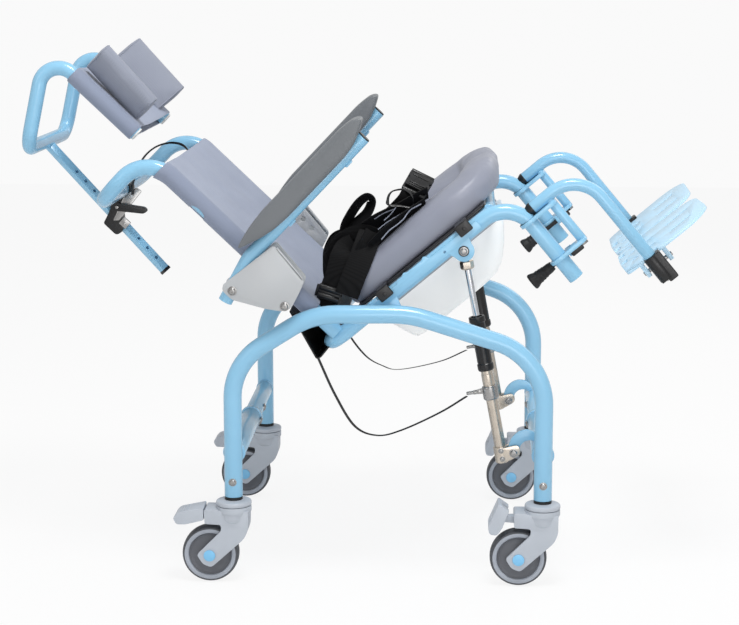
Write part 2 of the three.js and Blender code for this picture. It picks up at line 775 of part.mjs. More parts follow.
function buildCasters(root) {
  const fork = forkGeometry();
  const pedal = pedalGeometry();
  const wheel = wheelGeometry();
  const tyre = tyreGeometry();
  const stem = stemGeometry();
  [['rear_right', -1, -1], ['rear_left', -1, 1], ['front_right', 1, -1], ['front_left', 1, 1]].forEach(
    ([where, foreAft, side]) => {
      const caster = new THREE.Group();
      caster.position.set(foreAft * LEG_X - STEM_TRAIL, side * TRACK_Y, HUB_Z);
      place(caster, `caster_stem_${where}`, stem, SHELL);
      place(caster, `caster_fork_${where}`, fork, SHELL);
      place(caster, `caster_wheel_${where}`, wheel, paint(CASTER_GREY, 0.4));
      place(caster, `caster_tyre_${where}`, tyre, paint(TYRE_GREY, 0.7));
      const rocker = new THREE.Group();
      rocker.position.set(PEDAL_X, 0, PEDAL_Z);
      rocker.rotation.y = foreAft > 0 ? -rad(FRONT_PEDAL_TILT) : 0;
      place(rocker, `brake_pedal_${where}`, pedal, SHELL);
      caster.add(rocker);
      root.add(caster);
    },
  );
}

function buildStruts(root) {
  const clear = ROD_R + 2 * GAP;
  const down = (s) => -s;
  const rod = cut(
    join(
      bar([0, -STRUT_Y, down(ROD_END[0])], [0, -STRUT_Y, down(ROD_LENGTH)], ROD_R),
      bar([0, -STRUT_Y, down(ROD_END[0])], [0, -STRUT_Y, down(ROD_END[1])], ROD_END[2]),
      disc(0, 0, EYE_R, -STRUT_Y - EYE_HALF, -STRUT_Y + EYE_HALF, 14),
      block(
        [-EYE_HALF, -STRUT_Y - EYE_HALF, down(ROD_END[0] + WELD)],
        [EYE_HALF, -STRUT_Y + EYE_HALF, -EYE_HOLE_R - WELD],
      ),
    ),
    disc(0, 0, EYE_HOLE_R, -STRUT_Y - EYE_R, -STRUT_Y + EYE_R, 14),
  );
  const foot = down(strutFootDown);
  const earOutline = [
    [0, foot + CLEVIS_EAR_R], [STRUT_OFFSET, foot + CLEVIS_EAR_R], [STRUT_OFFSET, foot - CLEVIS_EAR_R],
    [0, foot - CLEVIS_EAR_R],
  ];
  const ear = (side) => {
    const inner = -STRUT_Y + side * (TUBE_R + GAP);
    const outer = -STRUT_Y + side * (TUBE_R + CLEVIS_WALL);
    return join(sidePlate(earOutline, inner, outer), disc(STRUT_OFFSET, foot, CLEVIS_EAR_R, inner, outer, 12));
  };
  const [armReach, armTop, armBottom, armHalf] = LEVER_ARM;
  const body = join(
    bar([0, -STRUT_Y, down(TUBE_TOP)], [0, -STRUT_Y, down(TUBE_BOTTOM)], TUBE_R),
    bar([0, -STRUT_Y, down(TUBE_BOTTOM - CLEVIS_HUG)], [0, -STRUT_Y, down(TUBE_BOTTOM - WELD)], TUBE_R + CLEVIS_WALL),
    bar([0, -STRUT_Y, down(HEAD_TOP)], [0, -STRUT_Y, down(HEAD_BOTTOM)], HEAD_R),
    block([-armReach, -STRUT_Y - armHalf, down(armTop)], [0, -STRUT_Y + armHalf, down(armBottom)]),
    ear(-1),
    ear(1),
  );
  const slot = TUBE_R + GAP;
  const lower = cut(
    body,
    bore([0, -STRUT_Y, down(TUBE_TOP - WELD)], [0, -STRUT_Y, down(TUBE_TOP + BORE_DEPTH)], ROD_R),
    block([slot, -STRUT_Y - slot, foot - CLEVIS_HUG], [slot + CLEVIS_HUG, -STRUT_Y + slot, foot + CLEVIS_HUG]),
    sideBore(STRUT_OFFSET, foot, FOOT_PIN_R, -STRUT_Y - CLEVIS_HUG, -STRUT_Y + CLEVIS_HUG),
  );
  const inside = TUBE_R + 2 * GAP;
  const outside = inside + COVER_WALL;
  const cover = lathe(
    [
      [clear, down(COVER_TOP)], [clear, down(COVER_TOP + COVER_LIP)], [inside, down(COVER_TOP + COVER_LIP)],
      [inside, down(COVER_BOTTOM)], [COVER_COLLAR_R, down(COVER_BOTTOM)],
      [COVER_COLLAR_R, down(COVER_BOTTOM - COVER_COLLAR)], [outside, down(COVER_BOTTOM - COVER_COLLAR)],
      [outside, down(COVER_TOP + COVER_COLLAR)], [COVER_COLLAR_R, down(COVER_TOP + COVER_COLLAR)],
      [COVER_COLLAR_R, down(COVER_TOP)], [clear, down(COVER_TOP)],
    ],
    12,
  ).rotateX(Math.PI / 2).translate(0, -STRUT_Y, 0);
  const strut = new THREE.Group();
  strut.position.set(strutTopX, 0, strutTopZ);
  strut.rotation.y = -strutLean;
  placePair(strut, 'strut_rod', rod, paint(CHROME, 0.15, 1));
  placePair(strut, 'strut_lower', lower, STEEL);
  placePair(strut, 'strut_cover', cover, DARK);
  root.add(strut);
}

function seatPlate() {
  const outer = -PLATE_INNER_Y - PLATE;
  const inner = -PLATE_INNER_Y;
  const plate = join(
    sidePlate(PLATE_OUTLINE, outer, inner),
    sidePlate(PIVOT_LUG_OUTLINE, outer, inner),
    disc(0, 0, PIVOT_LUG_R, outer, inner, 14),
    sidePlate(STRUT_LUG_OUTLINE, outer, inner),
    disc(STRUT_TOP_U, STRUT_TOP_W, STRUT_LUG_R, outer, inner, 14),
  );
  const pin = join(
    disc(STRUT_TOP_U, STRUT_TOP_W, STRUT_BOSS_R, inner - WELD, -STRUT_BOSS_Y, 12),
    disc(STRUT_TOP_U, STRUT_TOP_W, STRUT_PIN_R, inner - WELD, -INNER_LUG[0], 12),
  );
  const innerLug = join(
    sidePlate(INNER_LUG_OUTLINE, -INNER_LUG[1], -INNER_LUG[0]),
    block([LUG_BRIDGE[0], -RAIL_Y, LUG_BRIDGE[2]], [LUG_BRIDGE[1], -INNER_LUG[0], LUG_BRIDGE[3]]),
  );
  const hole = sideBore(0, 0, PIVOT_PIN_R, outer - WELD, inner + WELD);
  return join(cut(plate, hole), pin, innerLug);
}

function buildSeat(seat) {
  const plate = seatPlate();
  const crossTube = bar([CROSS_U, -RAIL_Y, RAIL_W], [CROSS_U, RAIL_Y, RAIL_W], FRAME_R);
  place(seat, 'seat_frame', join(seatTube(FRAME_R), plate, mirrored(plate), crossTube), COAT);
}

function ellipseHole(u, halfU, halfY, steps) {
  const points = [];
  for (let k = 0; k < steps; k += 1) {
    const angle = (2 * Math.PI * k) / steps;
    points.push(new THREE.Vector2(u + halfU * Math.cos(angle), halfY * Math.sin(angle)));
  }
  return new THREE.Path(points);
}

function buildBoard(seat) {
  const outline = [
    [BOARD_REAR, -BOARD_HALF], [BOARD_FRONT, -BOARD_HALF], [BOARD_FRONT, BOARD_HALF], [BOARD_REAR, BOARD_HALF],
  ];
  const board = planPlate(outline, BOARD_BOTTOM, BOARD_TOP, [ellipseHole(HOLE_U, HOLE_HALF_U, HOLE_HALF_Y, 24)]);
  const clips = CLIP_SPANS.map(([from, to]) => join(
    block([from, -CLIP_Y[1], CLIP_W[0]], [to, -CLIP_Y[0], CLIP_W[1]]),
    block([from, -CLIP_Y[1], BOARD_TOP - GAP], [to, -BOARD_HALF + PLATE, CLIP_W[1]]),
  ));
  place(seat, 'cushion_board', join(board, ...clips, ...clips.map(mirrored)), DARK);
}

// Point on a rounded rectangle, found along a ray from the middle of the hole.
function rayToOutline(angle) {
  const du = Math.cos(angle);
  const dy = Math.sin(angle);
  const front = CUSHION_FRONT - HOLE_U;
  const rear = CUSHION_REAR - HOLE_U;
  let reach = Math.min((du > 0 ? front : rear) / du || Infinity, CUSHION_HALF / Math.abs(dy));
  const radius = du > 0 ? CUSHION_FRONT_R : CUSHION_REAR_R;
  const cu = du > 0 ? front - radius : rear + radius;
  const cy = Math.sign(dy) * (CUSHION_HALF - radius);
  const inCorner = (du > 0 ? reach * du > cu : reach * du < cu) && Math.abs(reach * dy) > Math.abs(cy);
  if (inCorner) {
    const along = du * cu + dy * cy;
    reach = along + Math.sqrt(along ** 2 - cu ** 2 - cy ** 2 + radius ** 2);
  }
  return [HOLE_U + reach * du, reach * dy];
}

function buildCushion(seat) {
  const bottom = BOARD_TOP + GAP;
  const thick = CUSHION_TOP - bottom;
  const section = [
    [0.06, 0], [0, 0.3], [0.03, 0.62], [0.16, 0.84], [0.4, 0.97], [0.62, 1], [0.82, 0.96], [0.94, 0.8],
    [1, 0.52], [0.985, 0.2], [0.95, 0],
  ];
  const rows = [];
  for (let i = 0; i < CUSHION_ROWS; i += 1) {
    const angle = (2 * Math.PI * (i + 0.5)) / CUSHION_ROWS;
    const inner = [HOLE_U + HOLE_HALF_U * Math.cos(angle), HOLE_HALF_Y * Math.sin(angle)];
    const outer = rayToOutline(angle);
    rows.push(section.map(([t, h]) => [
      inner[0] + (outer[0] - inner[0]) * t,
      inner[1] + (outer[1] - inner[1]) * t,
      bottom + thick * h,
    ]));
  }
  place(seat, 'seat_cushion', skin(rows, true), paint(CUSHION_GREY, 0.6));
}

// Ring of points round a rounded rectangle in plan.
function panRing(rear, front, half, w, rearR, frontR) {
  const corners = [[front - frontR, half - frontR, frontR, 0], [rear + rearR, half - rearR, rearR, 1],
    [rear + rearR, -half + rearR, rearR, 2], [front - frontR, -half + frontR, frontR, 3]];
  const steps = 5;
  return corners.flatMap(([u, y, radius, quarter]) => {
    const arc = [];
    for (let k = 0; k <= steps; k += 1) {
      const angle = ((quarter + k / steps) * Math.PI) / 2;
      arc.push([u + radius * Math.cos(angle), y + radius * Math.sin(angle), w]);
    }
    return arc;
  });
}

function buildPan(seat) {
  const floor = PAN_TOP - PAN_DEPTH;
  const under = PAN_TOP - THIN;
  const rows = [
    panRing(PAN_FLOOR_REAR, PAN_FLOOR_FRONT, PAN_FLOOR_HALF, floor, PAN_REAR_R, PAN_FRONT_R),
    panRing(PAN_REAR, PAN_FRONT, PAN_HALF, under, PAN_REAR_R, PAN_FRONT_R),
    panRing(PAN_REAR, PAN_FRONT, PAN_HALF + PAN_RIM, under, PAN_REAR_R, PAN_FRONT_R),
    panRing(PAN_REAR, PAN_FRONT, PAN_HALF + PAN_RIM, PAN_TOP, PAN_REAR_R, PAN_FRONT_R),
    panRing(
      PAN_REAR + PAN_WALL, PAN_FRONT - PAN_WALL, PAN_HALF - PAN_WALL, PAN_TOP,
      PAN_REAR_R - PAN_WALL, PAN_FRONT_R - PAN_WALL,
    ),
    panRing(
      PAN_FLOOR_REAR + PAN_WALL, PAN_FLOOR_FRONT - PAN_WALL, PAN_FLOOR_HALF - PAN_WALL, floor + PAN_WALL,
      PAN_REAR_R - PAN_WALL, PAN_FRONT_R - PAN_WALL,
    ),
  ];
  place(seat, 'commode_pan', skin(rows, false), paint(PAN_WHITE, 0.4));
  const inner = PAN_HALF + RUNNER_GAP;
  const outer = PAN_HALF + PAN_RIM + GAP + THIN;
  const top = RAIL_W - FRAME_R - GAP;
  const lipTop = under - GAP;
  const runner = join(
    block([RUNNER_REAR, -outer, top - THIN], [RUNNER_FRONT, -inner + RUNNER_LIP, top]),
    block([PAN_REAR - RUNNER_LIP, -outer, lipTop - THIN], [RUNNER_FRONT, -outer + THIN, top]),
    block([PAN_REAR - RUNNER_LIP, -outer, lipTop - THIN], [RUNNER_FRONT, -inner, lipTop]),
  );
  const ties = RUNNER_TIES.map(([from, to]) => block([from, -outer, top - THIN], [to, outer, top]));
  place(seat, 'pan_carrier', join(runner, mirrored(runner), ...ties), SHELL);
}

// Closed sleeve of cloth around two upright tubes; each station is height, set-back and slack.
function sleeve(half, tubeR, stations, sag) {
  const outline = (offset) => {
    const radius = tubeR + FAT + offset;
    const wide = radius / Math.cos(Math.PI / SLING_ARC_STEPS / 2);
    const points = [];
    for (let k = 0; k <= SLING_SPAN_STEPS; k += 1) {
      const y = -half + (2 * half * k) / SLING_SPAN_STEPS;
      points.push([radius - sag * (1 - (y / half) ** 2), y]);
    }
    for (let k = 1; k < SLING_ARC_STEPS; k += 1) {
      const angle = (Math.PI * k) / SLING_ARC_STEPS;
      points.push([wide * Math.cos(angle), half + wide * Math.sin(angle)]);
    }
    for (let k = 0; k <= SLING_SPAN_STEPS; k += 1) {
      const y = half - (2 * half * k) / SLING_SPAN_STEPS;
      points.push([-radius, y]);
    }
    for (let k = 1; k < SLING_ARC_STEPS; k += 1) {
      const angle = Math.PI + (Math.PI * k) / SLING_ARC_STEPS;
      points.push([wide * Math.cos(angle), -half + wide * Math.sin(angle)]);
    }
    return points;
  };
  const rowAt = ([z, back, slack], offset) => outline(offset + slack).map(([x, y]) => [x - back, y, z]);
  const outer = stations.map((station) => rowAt(station, CLOTH));
  const inner = stations.filter((station, k) => k === 0 || station[1] > 0 || k === stations.length - 1
    || stations[k + 1][1] > 0).map((station) => rowAt(station, 0)).reverse();
  return skin([...outer, ...inner], true);
}

function buildBack(seat, back) {
  const fatSeat = seatTube(FRAME_R + GAP);
  fatSeat.translate(-BACK_U, 0, -RAIL_W).rotateY(rad(BACK_LEAN));
  place(back, 'back_frame', cut(backTube(FRAME_R), fatSeat), COAT);
  place(back, 'back_sling', sleeve(RAIL_Y, FRAME_R, SLING_STATIONS, SLING_SAG), FABRIC);
}

function buildFlap(back) {
  const fatSeat = seatTube(FRAME_R + FAT);
  fatSeat.translate(-BACK_U, 0, -RAIL_W).rotateY(rad(BACK_LEAN));
  const count = FLAP_OUTLINE.length;
  const middle = FLAP_OUTLINE.reduce((sum, p) => [sum[0] + p[0] / count, sum[1] + p[1] / count], [0, 0]);
  const inset = FLAP_OUTLINE.map(([x, z]) => {
    const away = Math.hypot(x - middle[0], z - middle[1]);
    const keep = (away - FLAP_WALL - WELD) / away;
    return [middle[0] + (x - middle[0]) * keep, middle[1] + (z - middle[1]) * keep];
  });
  const shell = cut(
    sidePlate(FLAP_OUTLINE, -FLAP_HALF, FLAP_HALF),
    sidePlate(inset, -FLAP_HALF - WELD, FLAP_HALF + WELD),
    fatSeat,
  );
  const solid = toSolid(shell);
  const largest = solid.decompose().sort((a, b) => b.volume() - a.volume())[0];
  place(back, 'rear_flap', fromSolid(largest), DARK);
}

function buildArms(back) {
  const outer = -SHEET_Y - THIN;
  const pinEnd = -INNER_SHEET_Y - THIN / 2;
  const sheet = sidePlate(BRACKET_OUTLINE, outer, -SHEET_Y);
  const innerSheet = cut(
    sidePlate(BRACKET_OUTLINE, -INNER_SHEET_Y - THIN, -INNER_SHEET_Y),
    ...BRACKET_HOLES.map(([x, z, r]) => disc(x, z, r, -SHEET_Y, -RAIL_Y, 10)),
  );
  const flange = sidePlate(FLANGE, outer, outer + FLANGE_DEPTH);
  const bracket = join(
    sheet,
    innerSheet,
    flange,
    disc(SPACER_X, SPACER_Z, SPACER_R, outer + WELD, pinEnd, 12),
    disc(ARM_PIVOT_X, ARM_PIVOT_Z, ARM_PIN_R, outer + WELD, pinEnd, 12),
  );
  placePair(back, 'armrest_bracket', bracket, paint(PLATE_GREY, 0.5, 0.2));
  const armCorners = [[ARM_START[0], -ARM_Y, ARM_START[1]], [0, -ARM_Y, ARM_Z], [ARM_END_X, -ARM_Y, ARM_Z]];
  const arm = cut(
    tube(armCorners, [ARM_BEND_R], ARM_R),
    sideBore(ARM_PIVOT_X, ARM_PIVOT_Z, ARM_PIN_R, outer, pinEnd),
  );
  placePair(back, 'arm_tube', arm, COAT);
  const fatCorners = [armCorners[0], armCorners[1], [2 * ARM_END_X, -ARM_Y, ARM_Z]];
  const foam = softBlock(PAD_OUTLINE, 0, PAD_OUTER_Y - PAD_INNER_Y, PAD_EDGE);
  const pad = cut(
    foam.rotateX(Math.PI / 2).translate(0, -PAD_INNER_Y, 0),
    tube(fatCorners, [ARM_BEND_R], ARM_R + FAT),
    block([0, -ARM_Y - ARM_R - FAT, 0], [2 * ARM_END_X, -ARM_Y + ARM_R + FAT, ARM_Z]),
  );
  placePair(back, 'arm_pad', pad, paint(PAD_GREY, 0.55));
}

// Square bar standing on edge along the stem line.
function stemBar(half) {
  const lean = Math.atan2(STEM_TOP[0] - STEM_FOOT[0], STEM_TOP[1] - STEM_FOOT[1]);
  const length = Math.hypot(STEM_TOP[0] - STEM_FOOT[0], STEM_TOP[1] - STEM_FOOT[1]);
  return new THREE.BoxGeometry(2 * half, 2 * half, length)
    .rotateZ(rad(STEM_TURN))
    .translate(0, 0, length / 2)
    .rotateY(lean)
    .translate(STEM_FOOT[0], 0, STEM_FOOT[1]);
}

function buildHead(back) {
  const head = tube(
    [
      [0, -HEAD_Y, HEAD_FOOT], [0, -HEAD_Y, HEAD_TOP_Z], [HEAD_CROSS_X, -HEAD_Y, HEAD_CROSS_Z],
      [HEAD_CROSS_X, HEAD_Y, HEAD_CROSS_Z], [0, HEAD_Y, HEAD_TOP_Z], [0, HEAD_Y, HEAD_FOOT],
    ],
    [HEAD_BEND_R, HEAD_CROSS_BEND, HEAD_CROSS_BEND, HEAD_BEND_R],
    HEAD_TUBE_R,
  );
  const slope = (STEM_TOP[0] - STEM_FOOT[0]) / (STEM_TOP[1] - STEM_FOOT[1]);
  const holes = STEM_HOLE_PLACES.map((rise) => {
    const x = STEM_FOOT[0] + rise * slope;
    return disc(x, STEM_FOOT[1] + rise, STEM_HOLE_R, -STEM_HOLE_REACH, STEM_HOLE_REACH, 6);
  });
  place(back, 'head_frame', cut(join(head, stemBar(STEM_HALF)), ...holes), COAT);
  place(back, 'head_sling', sleeve(HEAD_Y, HEAD_TUBE_R, HEAD_SLING_STATIONS, HEAD_SAG), FABRIC);
  const wing = softBlock(WING_PLAN, WING_BOTTOM, WING_TOP, WING_EDGE);
  place(back, 'head_wing_left', wing, FABRIC);
  place(back, 'head_wing_right', mirrored(wing), FABRIC);
  const clamp = cut(
    join(
      sidePlate(CLAMP_OUTLINE, -CLAMP_HALF, CLAMP_HALF),
      disc(-BACK_ARM, BACK_TOP, FRAME_R + CLAMP_RING, -CLAMP_HALF, CLAMP_HALF, 16),
    ),
    stemBar(STEM_HALF + GAP),
    bore([-BACK_ARM, -RAIL_Y, BACK_TOP], [-BACK_ARM, RAIL_Y, BACK_TOP], FRAME_R),
  );
  const leverPin = disc(LEVER_ROOT[0], LEVER_ROOT[1], LEVER_PIN_R, -CLAMP_HALF + WELD, -LEVER_PIN_Y, 10);
  const leverBoss = disc(LEVER_ROOT[0], LEVER_ROOT[1], LEVER_EYE_R, -CLAMP_HALF + WELD, -LEVER_Y[0] + GAP, 10);
  place(back, 'head_clamp', join(clamp, leverBoss, leverPin), DARK);
  const lever = cut(
    join(
      disc(LEVER_ROOT[0], LEVER_ROOT[1], LEVER_EYE_R, -LEVER_Y[1], -LEVER_Y[0], 12),
      bar(
        [LEVER_ROOT[0], -(LEVER_Y[0] + LEVER_Y[1]) / 2, LEVER_ROOT[1]],
        [LEVER_TIP[0], -(LEVER_Y[0] + LEVER_Y[1]) / 2, LEVER_TIP[1]],
        LEVER_HALF,
        10,
      ),
    ),
    sideBore(LEVER_ROOT[0], LEVER_ROOT[1], LEVER_PIN_R, -LEVER_PIN_Y - WELD, 0),
  );
  place(back, 'tilt_lever', lever, DARK);
}

function buildHangers(seat) {
  const y = -RAIL_Y;
  const plates = HANGER_PLATES.map(([from, to]) => join(
    block([SEAT_FRONT_U, y - HANGER_PLATE_HALF, from], [HANGER_PLATE_FRONT, y + HANGER_PLATE_HALF, to]),
    bar([SEAT_FRONT_U, y, from], [SEAT_FRONT_U, y, to], HANGER_PLATE_HALF + WELD, 12),
  ));
  const sleeveTube = bar([SEAT_FRONT_U, y, HANGER_PLATES[1][0]], [SEAT_FRONT_U, y, HANGER_PLATES[0][0]], POST_COLLAR_R, 12);
  const guide = bar([GRIP_GUIDE[0], -GRIP_Y, GRIP_W], [GRIP_GUIDE[1], -GRIP_Y, GRIP_W], GRIP_GUIDE_R, 12);
  const web = block([GRIP_GUIDE[0], y, HANGER_PLATES[1][0]], [GRIP_GUIDE[1], -GRIP_Y, HANGER_PLATES[1][1]]);
  const arm = join(
    tube(
      [[LEG_START_U, y, LEG_TOP_W], [LEG_FRONT_U, y, LEG_TOP_W], [LEG_FRONT_U, y, LEG_END_W]],
      [LEG_BEND_R],
      LEG_TUBE_R,
    ),
    bar([PARALLEL_U, y, LEG_TOP_W], [PARALLEL_U, y, HANGER_PLATES[1][0]], PARALLEL_R),
    ...plates,
    sleeveTube,
    guide,
    web,
  );
  const [bu0, bu1, bw0, bw1, by0, by1] = HINGE_BLOCK;
  const hingePin = bar(
    [FOOT_LUGS[0][0] - THIN, -HINGE_Y, HINGE_W],
    [FOOT_LUGS[1][1] + THIN, -HINGE_Y, HINGE_W],
    HINGE_PIN_R,
    10,
  );
  const postBore = bore([SEAT_FRONT_U, y, POST_END_W - FRAME_R], [SEAT_FRONT_U, y, 0], FRAME_R);
  const gripBore = bore([GRIP_ROOT_U, -GRIP_Y, GRIP_W], [PARALLEL_U, -GRIP_Y, GRIP_W], GRIP_PIN_R);
  const bendRoom = bar([SEAT_FRONT_U, y, BEND_ROOM_W], [SEAT_FRONT_U, y, 0], BEND_ROOM_R);
  const hanger = cut(arm, postBore, bendRoom, gripBore);
  placePair(seat, 'hanger', hanger, COAT);
  const blockSolid = join(
    block([bu0, -by0, bw0], [bu1, -by1, bw1]),
    block([bu0, -by0 - WELD, bw0], [bu1, -HINGE_Y + HINGE_WEB_HALF, HINGE_SHELF_TOP]),
    block([bu0, -HINGE_Y - HINGE_WEB_HALF, bw0 + WELD], [bu1, -HINGE_Y + HINGE_WEB_HALF, HINGE_W]),
    bar([bu0, -HINGE_Y, HINGE_W], [bu1, -HINGE_Y, HINGE_W], HINGE_BEARING_R, 14),
    hingePin,
  );
  placePair(seat, 'footplate_hinge', cut(
    blockSolid,
    bore([LEG_FRONT_U, y, LEG_END_W - GAP], [LEG_FRONT_U, y, 0], LEG_TUBE_R),
  ), DARK);
  const cone = lathe(
    [[0, GRIP_END_U], [GRIP_END_R, GRIP_END_U], [GRIP_ROOT_R, GRIP_ROOT_U], [0, GRIP_ROOT_U]],
    10,
  ).rotateZ(-Math.PI / 2).translate(0, -GRIP_Y, GRIP_W);
  const grip = join(cone, bar([GRIP_END_U, -GRIP_Y, GRIP_W], [GRIP_GUIDE[1], -GRIP_Y, GRIP_W], GRIP_PIN_R, 10));
  placePair(seat, 'hanger_grip', grip, DARK);
}

function buildFootplates(seat) {
  const top = FOOT_W + FOOT_THICK;
  const slots = FOOT_SLOTS.map(([from, to, y]) => block(
    [from, -y - FOOT_SLOT_HALF, FOOT_W - WELD],
    [to, -y + FOOT_SLOT_HALF, top + WELD],
  ));
  const [hu, hy, hr, hh] = HEEL_HOLE;
  const heel = bar([hu, -hy, FOOT_W - WELD], [hu, -hy, top + WELD], hr, 12).translate(-hu, hy, 0)
    .scale(1, hh / hr, 1).translate(hu, -hy, 0);
  const plate = cut(
    planPlate(FOOT_OUTLINE.map(([u, y, r]) => [u, -y, r]).reverse(), FOOT_W, top),
    ...slots,
    heel,
    block([HINGE_BLOCK[0] - GAP, -HINGE_Y, FOOT_W - WELD], [HINGE_BLOCK[1] + GAP, -HINGE_BLOCK[5], top + WELD]),
  );
  const lugs = FOOT_LUGS.map(([from, to]) => join(
    block([from, -HINGE_Y - FOOT_LUG_R, HINGE_W], [to, -HINGE_Y + FOOT_LUG_R, top]),
    bar([from, -HINGE_Y, HINGE_W], [to, -HINGE_Y, HINGE_W], FOOT_LUG_R, 14),
  ));
  const pinHole = bore(
    [FOOT_LUGS[0][0] - WELD, -HINGE_Y, HINGE_W],
    [FOOT_LUGS[1][1] + WELD, -HINGE_Y, HINGE_W],
    HINGE_PIN_R,
  );
  placePair(seat, 'footplate', cut(join(plate, ...lugs), pinHole), paint(PALE_BLUE, 0.35));
}

function cable(points, name, group) {
  const corners = points.map((p) => new THREE.Vector3(...p));
  const curve = new THREE.CatmullRomCurve3(corners);
  const geometry = new THREE.ExtrudeGeometry(circleShape(CABLE_R, CABLE_SIDES), {
    steps: (points.length - 1) * 2,
    extrudePath: curve,
    bevelEnabled: false,
  });
  place(group, name, geometry, DARK);
}

function strapLoop(points, edges) {
  const curve = new THREE.CatmullRomCurve3(points.map(([u, w]) => new THREE.Vector3(u, 0, w)));
  const samples = curve.getPoints((points.length - 1) * 2);
  const rows = samples.map((p, i) => {
    const before = samples[Math.max(i - 1, 0)];
    const after = samples[Math.min(i + 1, samples.length - 1)];
    const run = after.clone().sub(before).normalize();
    const up = new THREE.Vector3(-run.z, 0, run.x).multiplyScalar(STRAP_THICK / 2);
    return [
      [p.x + up.x, -edges[0], p.z + up.z], [p.x + up.x, -edges[1], p.z + up.z],
      [p.x - up.x, -edges[1], p.z - up.z], [p.x - up.x, -edges[0], p.z - up.z],
    ];
  });
  return skin(rows, false);
}

const model = new THREE.Group();
const seat = new THREE.Group();
seat.position.set(PIVOT_X, 0, PIVOT_Z);
seat.rotation.y = -tilt;
const back = new THREE.Group();
back.position.set(BACK_U, 0, RAIL_W);
back.rotation.y = -rad(BACK_LEAN);
seat.add(back);
model.add(seat);

buildBase(model);
buildCasters(model);
buildStruts(model);
buildSeat(seat);
buildBoard(seat);
buildCushion(seat);
buildPan(seat);
buildBack(seat, back);
buildFlap(back);
buildArms(back);
buildHead(back);
buildHangers(seat);
buildFootplates(seat);
Object.entries(LOWER_CABLES).forEach(([side, points]) => {
  const across = side === 'right' ? -1 : 1;
  cable(points.map(([x, z, y]) => [x, across * y, z]), `cable_lower_${side}`, model);
});
cable(UPPER_CABLE.map(([x, z, y]) => [x, y, z]), 'cable_upper', back);
place(seat, 'belt', join(...STRAP_LOOPS.map((points, k) => strapLoop(points, STRAP_EDGES[k]))), DARK);

// The origin is put at the middle of the underside of the whole chair.
model.updateMatrixWorld(true);
const bounds = new THREE.Box3().setFromObject(model, true);
const middle = bounds.getCenter(new THREE.Vector3());
const part = new THREE.Group();
model.position.set(-middle.x, -middle.y, -bounds.min.z);
part.add(model);

export default part;
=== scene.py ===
# %% [markdown]
# # A tilting shower commode chair
# The chair was first built as solids: tubes, plates, wheels, joints. This notebook dresses them. Each step
# says what a piece is on the real chair, how it could be made, and why it is made this way.
# All places are in metres in the same frame as the solids, and sizes are written in millimetres and scaled.

# %% Load the solids
import json
import math

import bmesh
import bpy
from mathutils import Matrix, Vector

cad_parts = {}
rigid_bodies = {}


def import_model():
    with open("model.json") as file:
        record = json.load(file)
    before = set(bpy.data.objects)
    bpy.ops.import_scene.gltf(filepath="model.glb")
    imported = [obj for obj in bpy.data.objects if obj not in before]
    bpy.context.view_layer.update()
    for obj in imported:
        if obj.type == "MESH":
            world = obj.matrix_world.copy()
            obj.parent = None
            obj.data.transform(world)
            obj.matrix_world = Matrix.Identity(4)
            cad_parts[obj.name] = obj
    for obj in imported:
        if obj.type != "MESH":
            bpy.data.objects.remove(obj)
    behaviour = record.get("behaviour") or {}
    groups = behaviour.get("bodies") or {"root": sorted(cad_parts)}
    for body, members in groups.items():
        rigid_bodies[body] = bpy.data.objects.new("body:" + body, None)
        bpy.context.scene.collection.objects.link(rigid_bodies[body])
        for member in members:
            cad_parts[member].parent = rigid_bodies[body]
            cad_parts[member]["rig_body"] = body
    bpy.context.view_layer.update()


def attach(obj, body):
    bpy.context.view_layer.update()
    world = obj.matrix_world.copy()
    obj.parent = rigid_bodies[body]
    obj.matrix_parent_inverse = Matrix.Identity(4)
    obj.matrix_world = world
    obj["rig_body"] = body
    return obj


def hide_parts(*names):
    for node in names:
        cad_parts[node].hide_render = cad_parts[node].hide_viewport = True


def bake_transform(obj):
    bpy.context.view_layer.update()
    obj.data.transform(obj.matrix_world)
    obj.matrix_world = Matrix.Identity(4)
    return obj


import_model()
MM = 0.001

# %% [markdown]
# The chair is a nest of frames. The base stands on the floor, the seat is turned 40 degrees about the tilt
# pivot, the back leans a further 6.5 degrees, and each strut hangs from the seat. With a matrix for each, a
# piece is modelled in the plain coordinates of its own frame and then put in place.

# %% Frames of the chair
SEAT_TILT = math.radians(40)
BACK_LEAN = math.radians(6.5)
STRUT_LEAN = math.asin(0.186577)
BASE = Matrix.Translation((0.05472726, 0, 0))
SEAT = Matrix.Translation((0.06103, 0, 0.4823)) @ Matrix.Rotation(-SEAT_TILT, 4, "Y")
BACK = SEAT @ Matrix.Translation((-0.101, 0, 0.0203)) @ Matrix.Rotation(-BACK_LEAN, 4, "Y")
STRUT = Matrix.Translation((0.18449, 0, 0.5872)) @ Matrix.Rotation(-STRUT_LEAN, 4, "Y")
print("seat pivot:", tuple(round(v, 4) for v in SEAT.translation))

# %% [markdown]
# The photograph is taken from far off and a little above, so a long lens looks at the right side. The lens
# and place were worked out from the wheels and tubes on the near and far sides.

# %% Camera
bpy.ops.object.select_all(action="DESELECT")
bpy.ops.object.camera_add(
    location=(0.18533, -3.5894, 1.072), rotation=(math.radians(79.913), 0, math.radians(2.81))
)
camera = bpy.context.object
camera.name = "camera"
camera.data.lens = 95.03
camera.data.sensor_width = 36
bpy.context.scene.camera = camera
bpy.context.scene.view_settings.view_transform = "Standard"
print("lens:", camera.data.lens)

# %% [markdown]
# Most pieces begin as a line of points that is extruded, spun or filled. The helpers here do by code what
# one does by hand: everything is deselected, one vertex is extruded from point to point, and the line that
# comes out is filled to a face, spun to a turned shape, or drawn out to a plate.

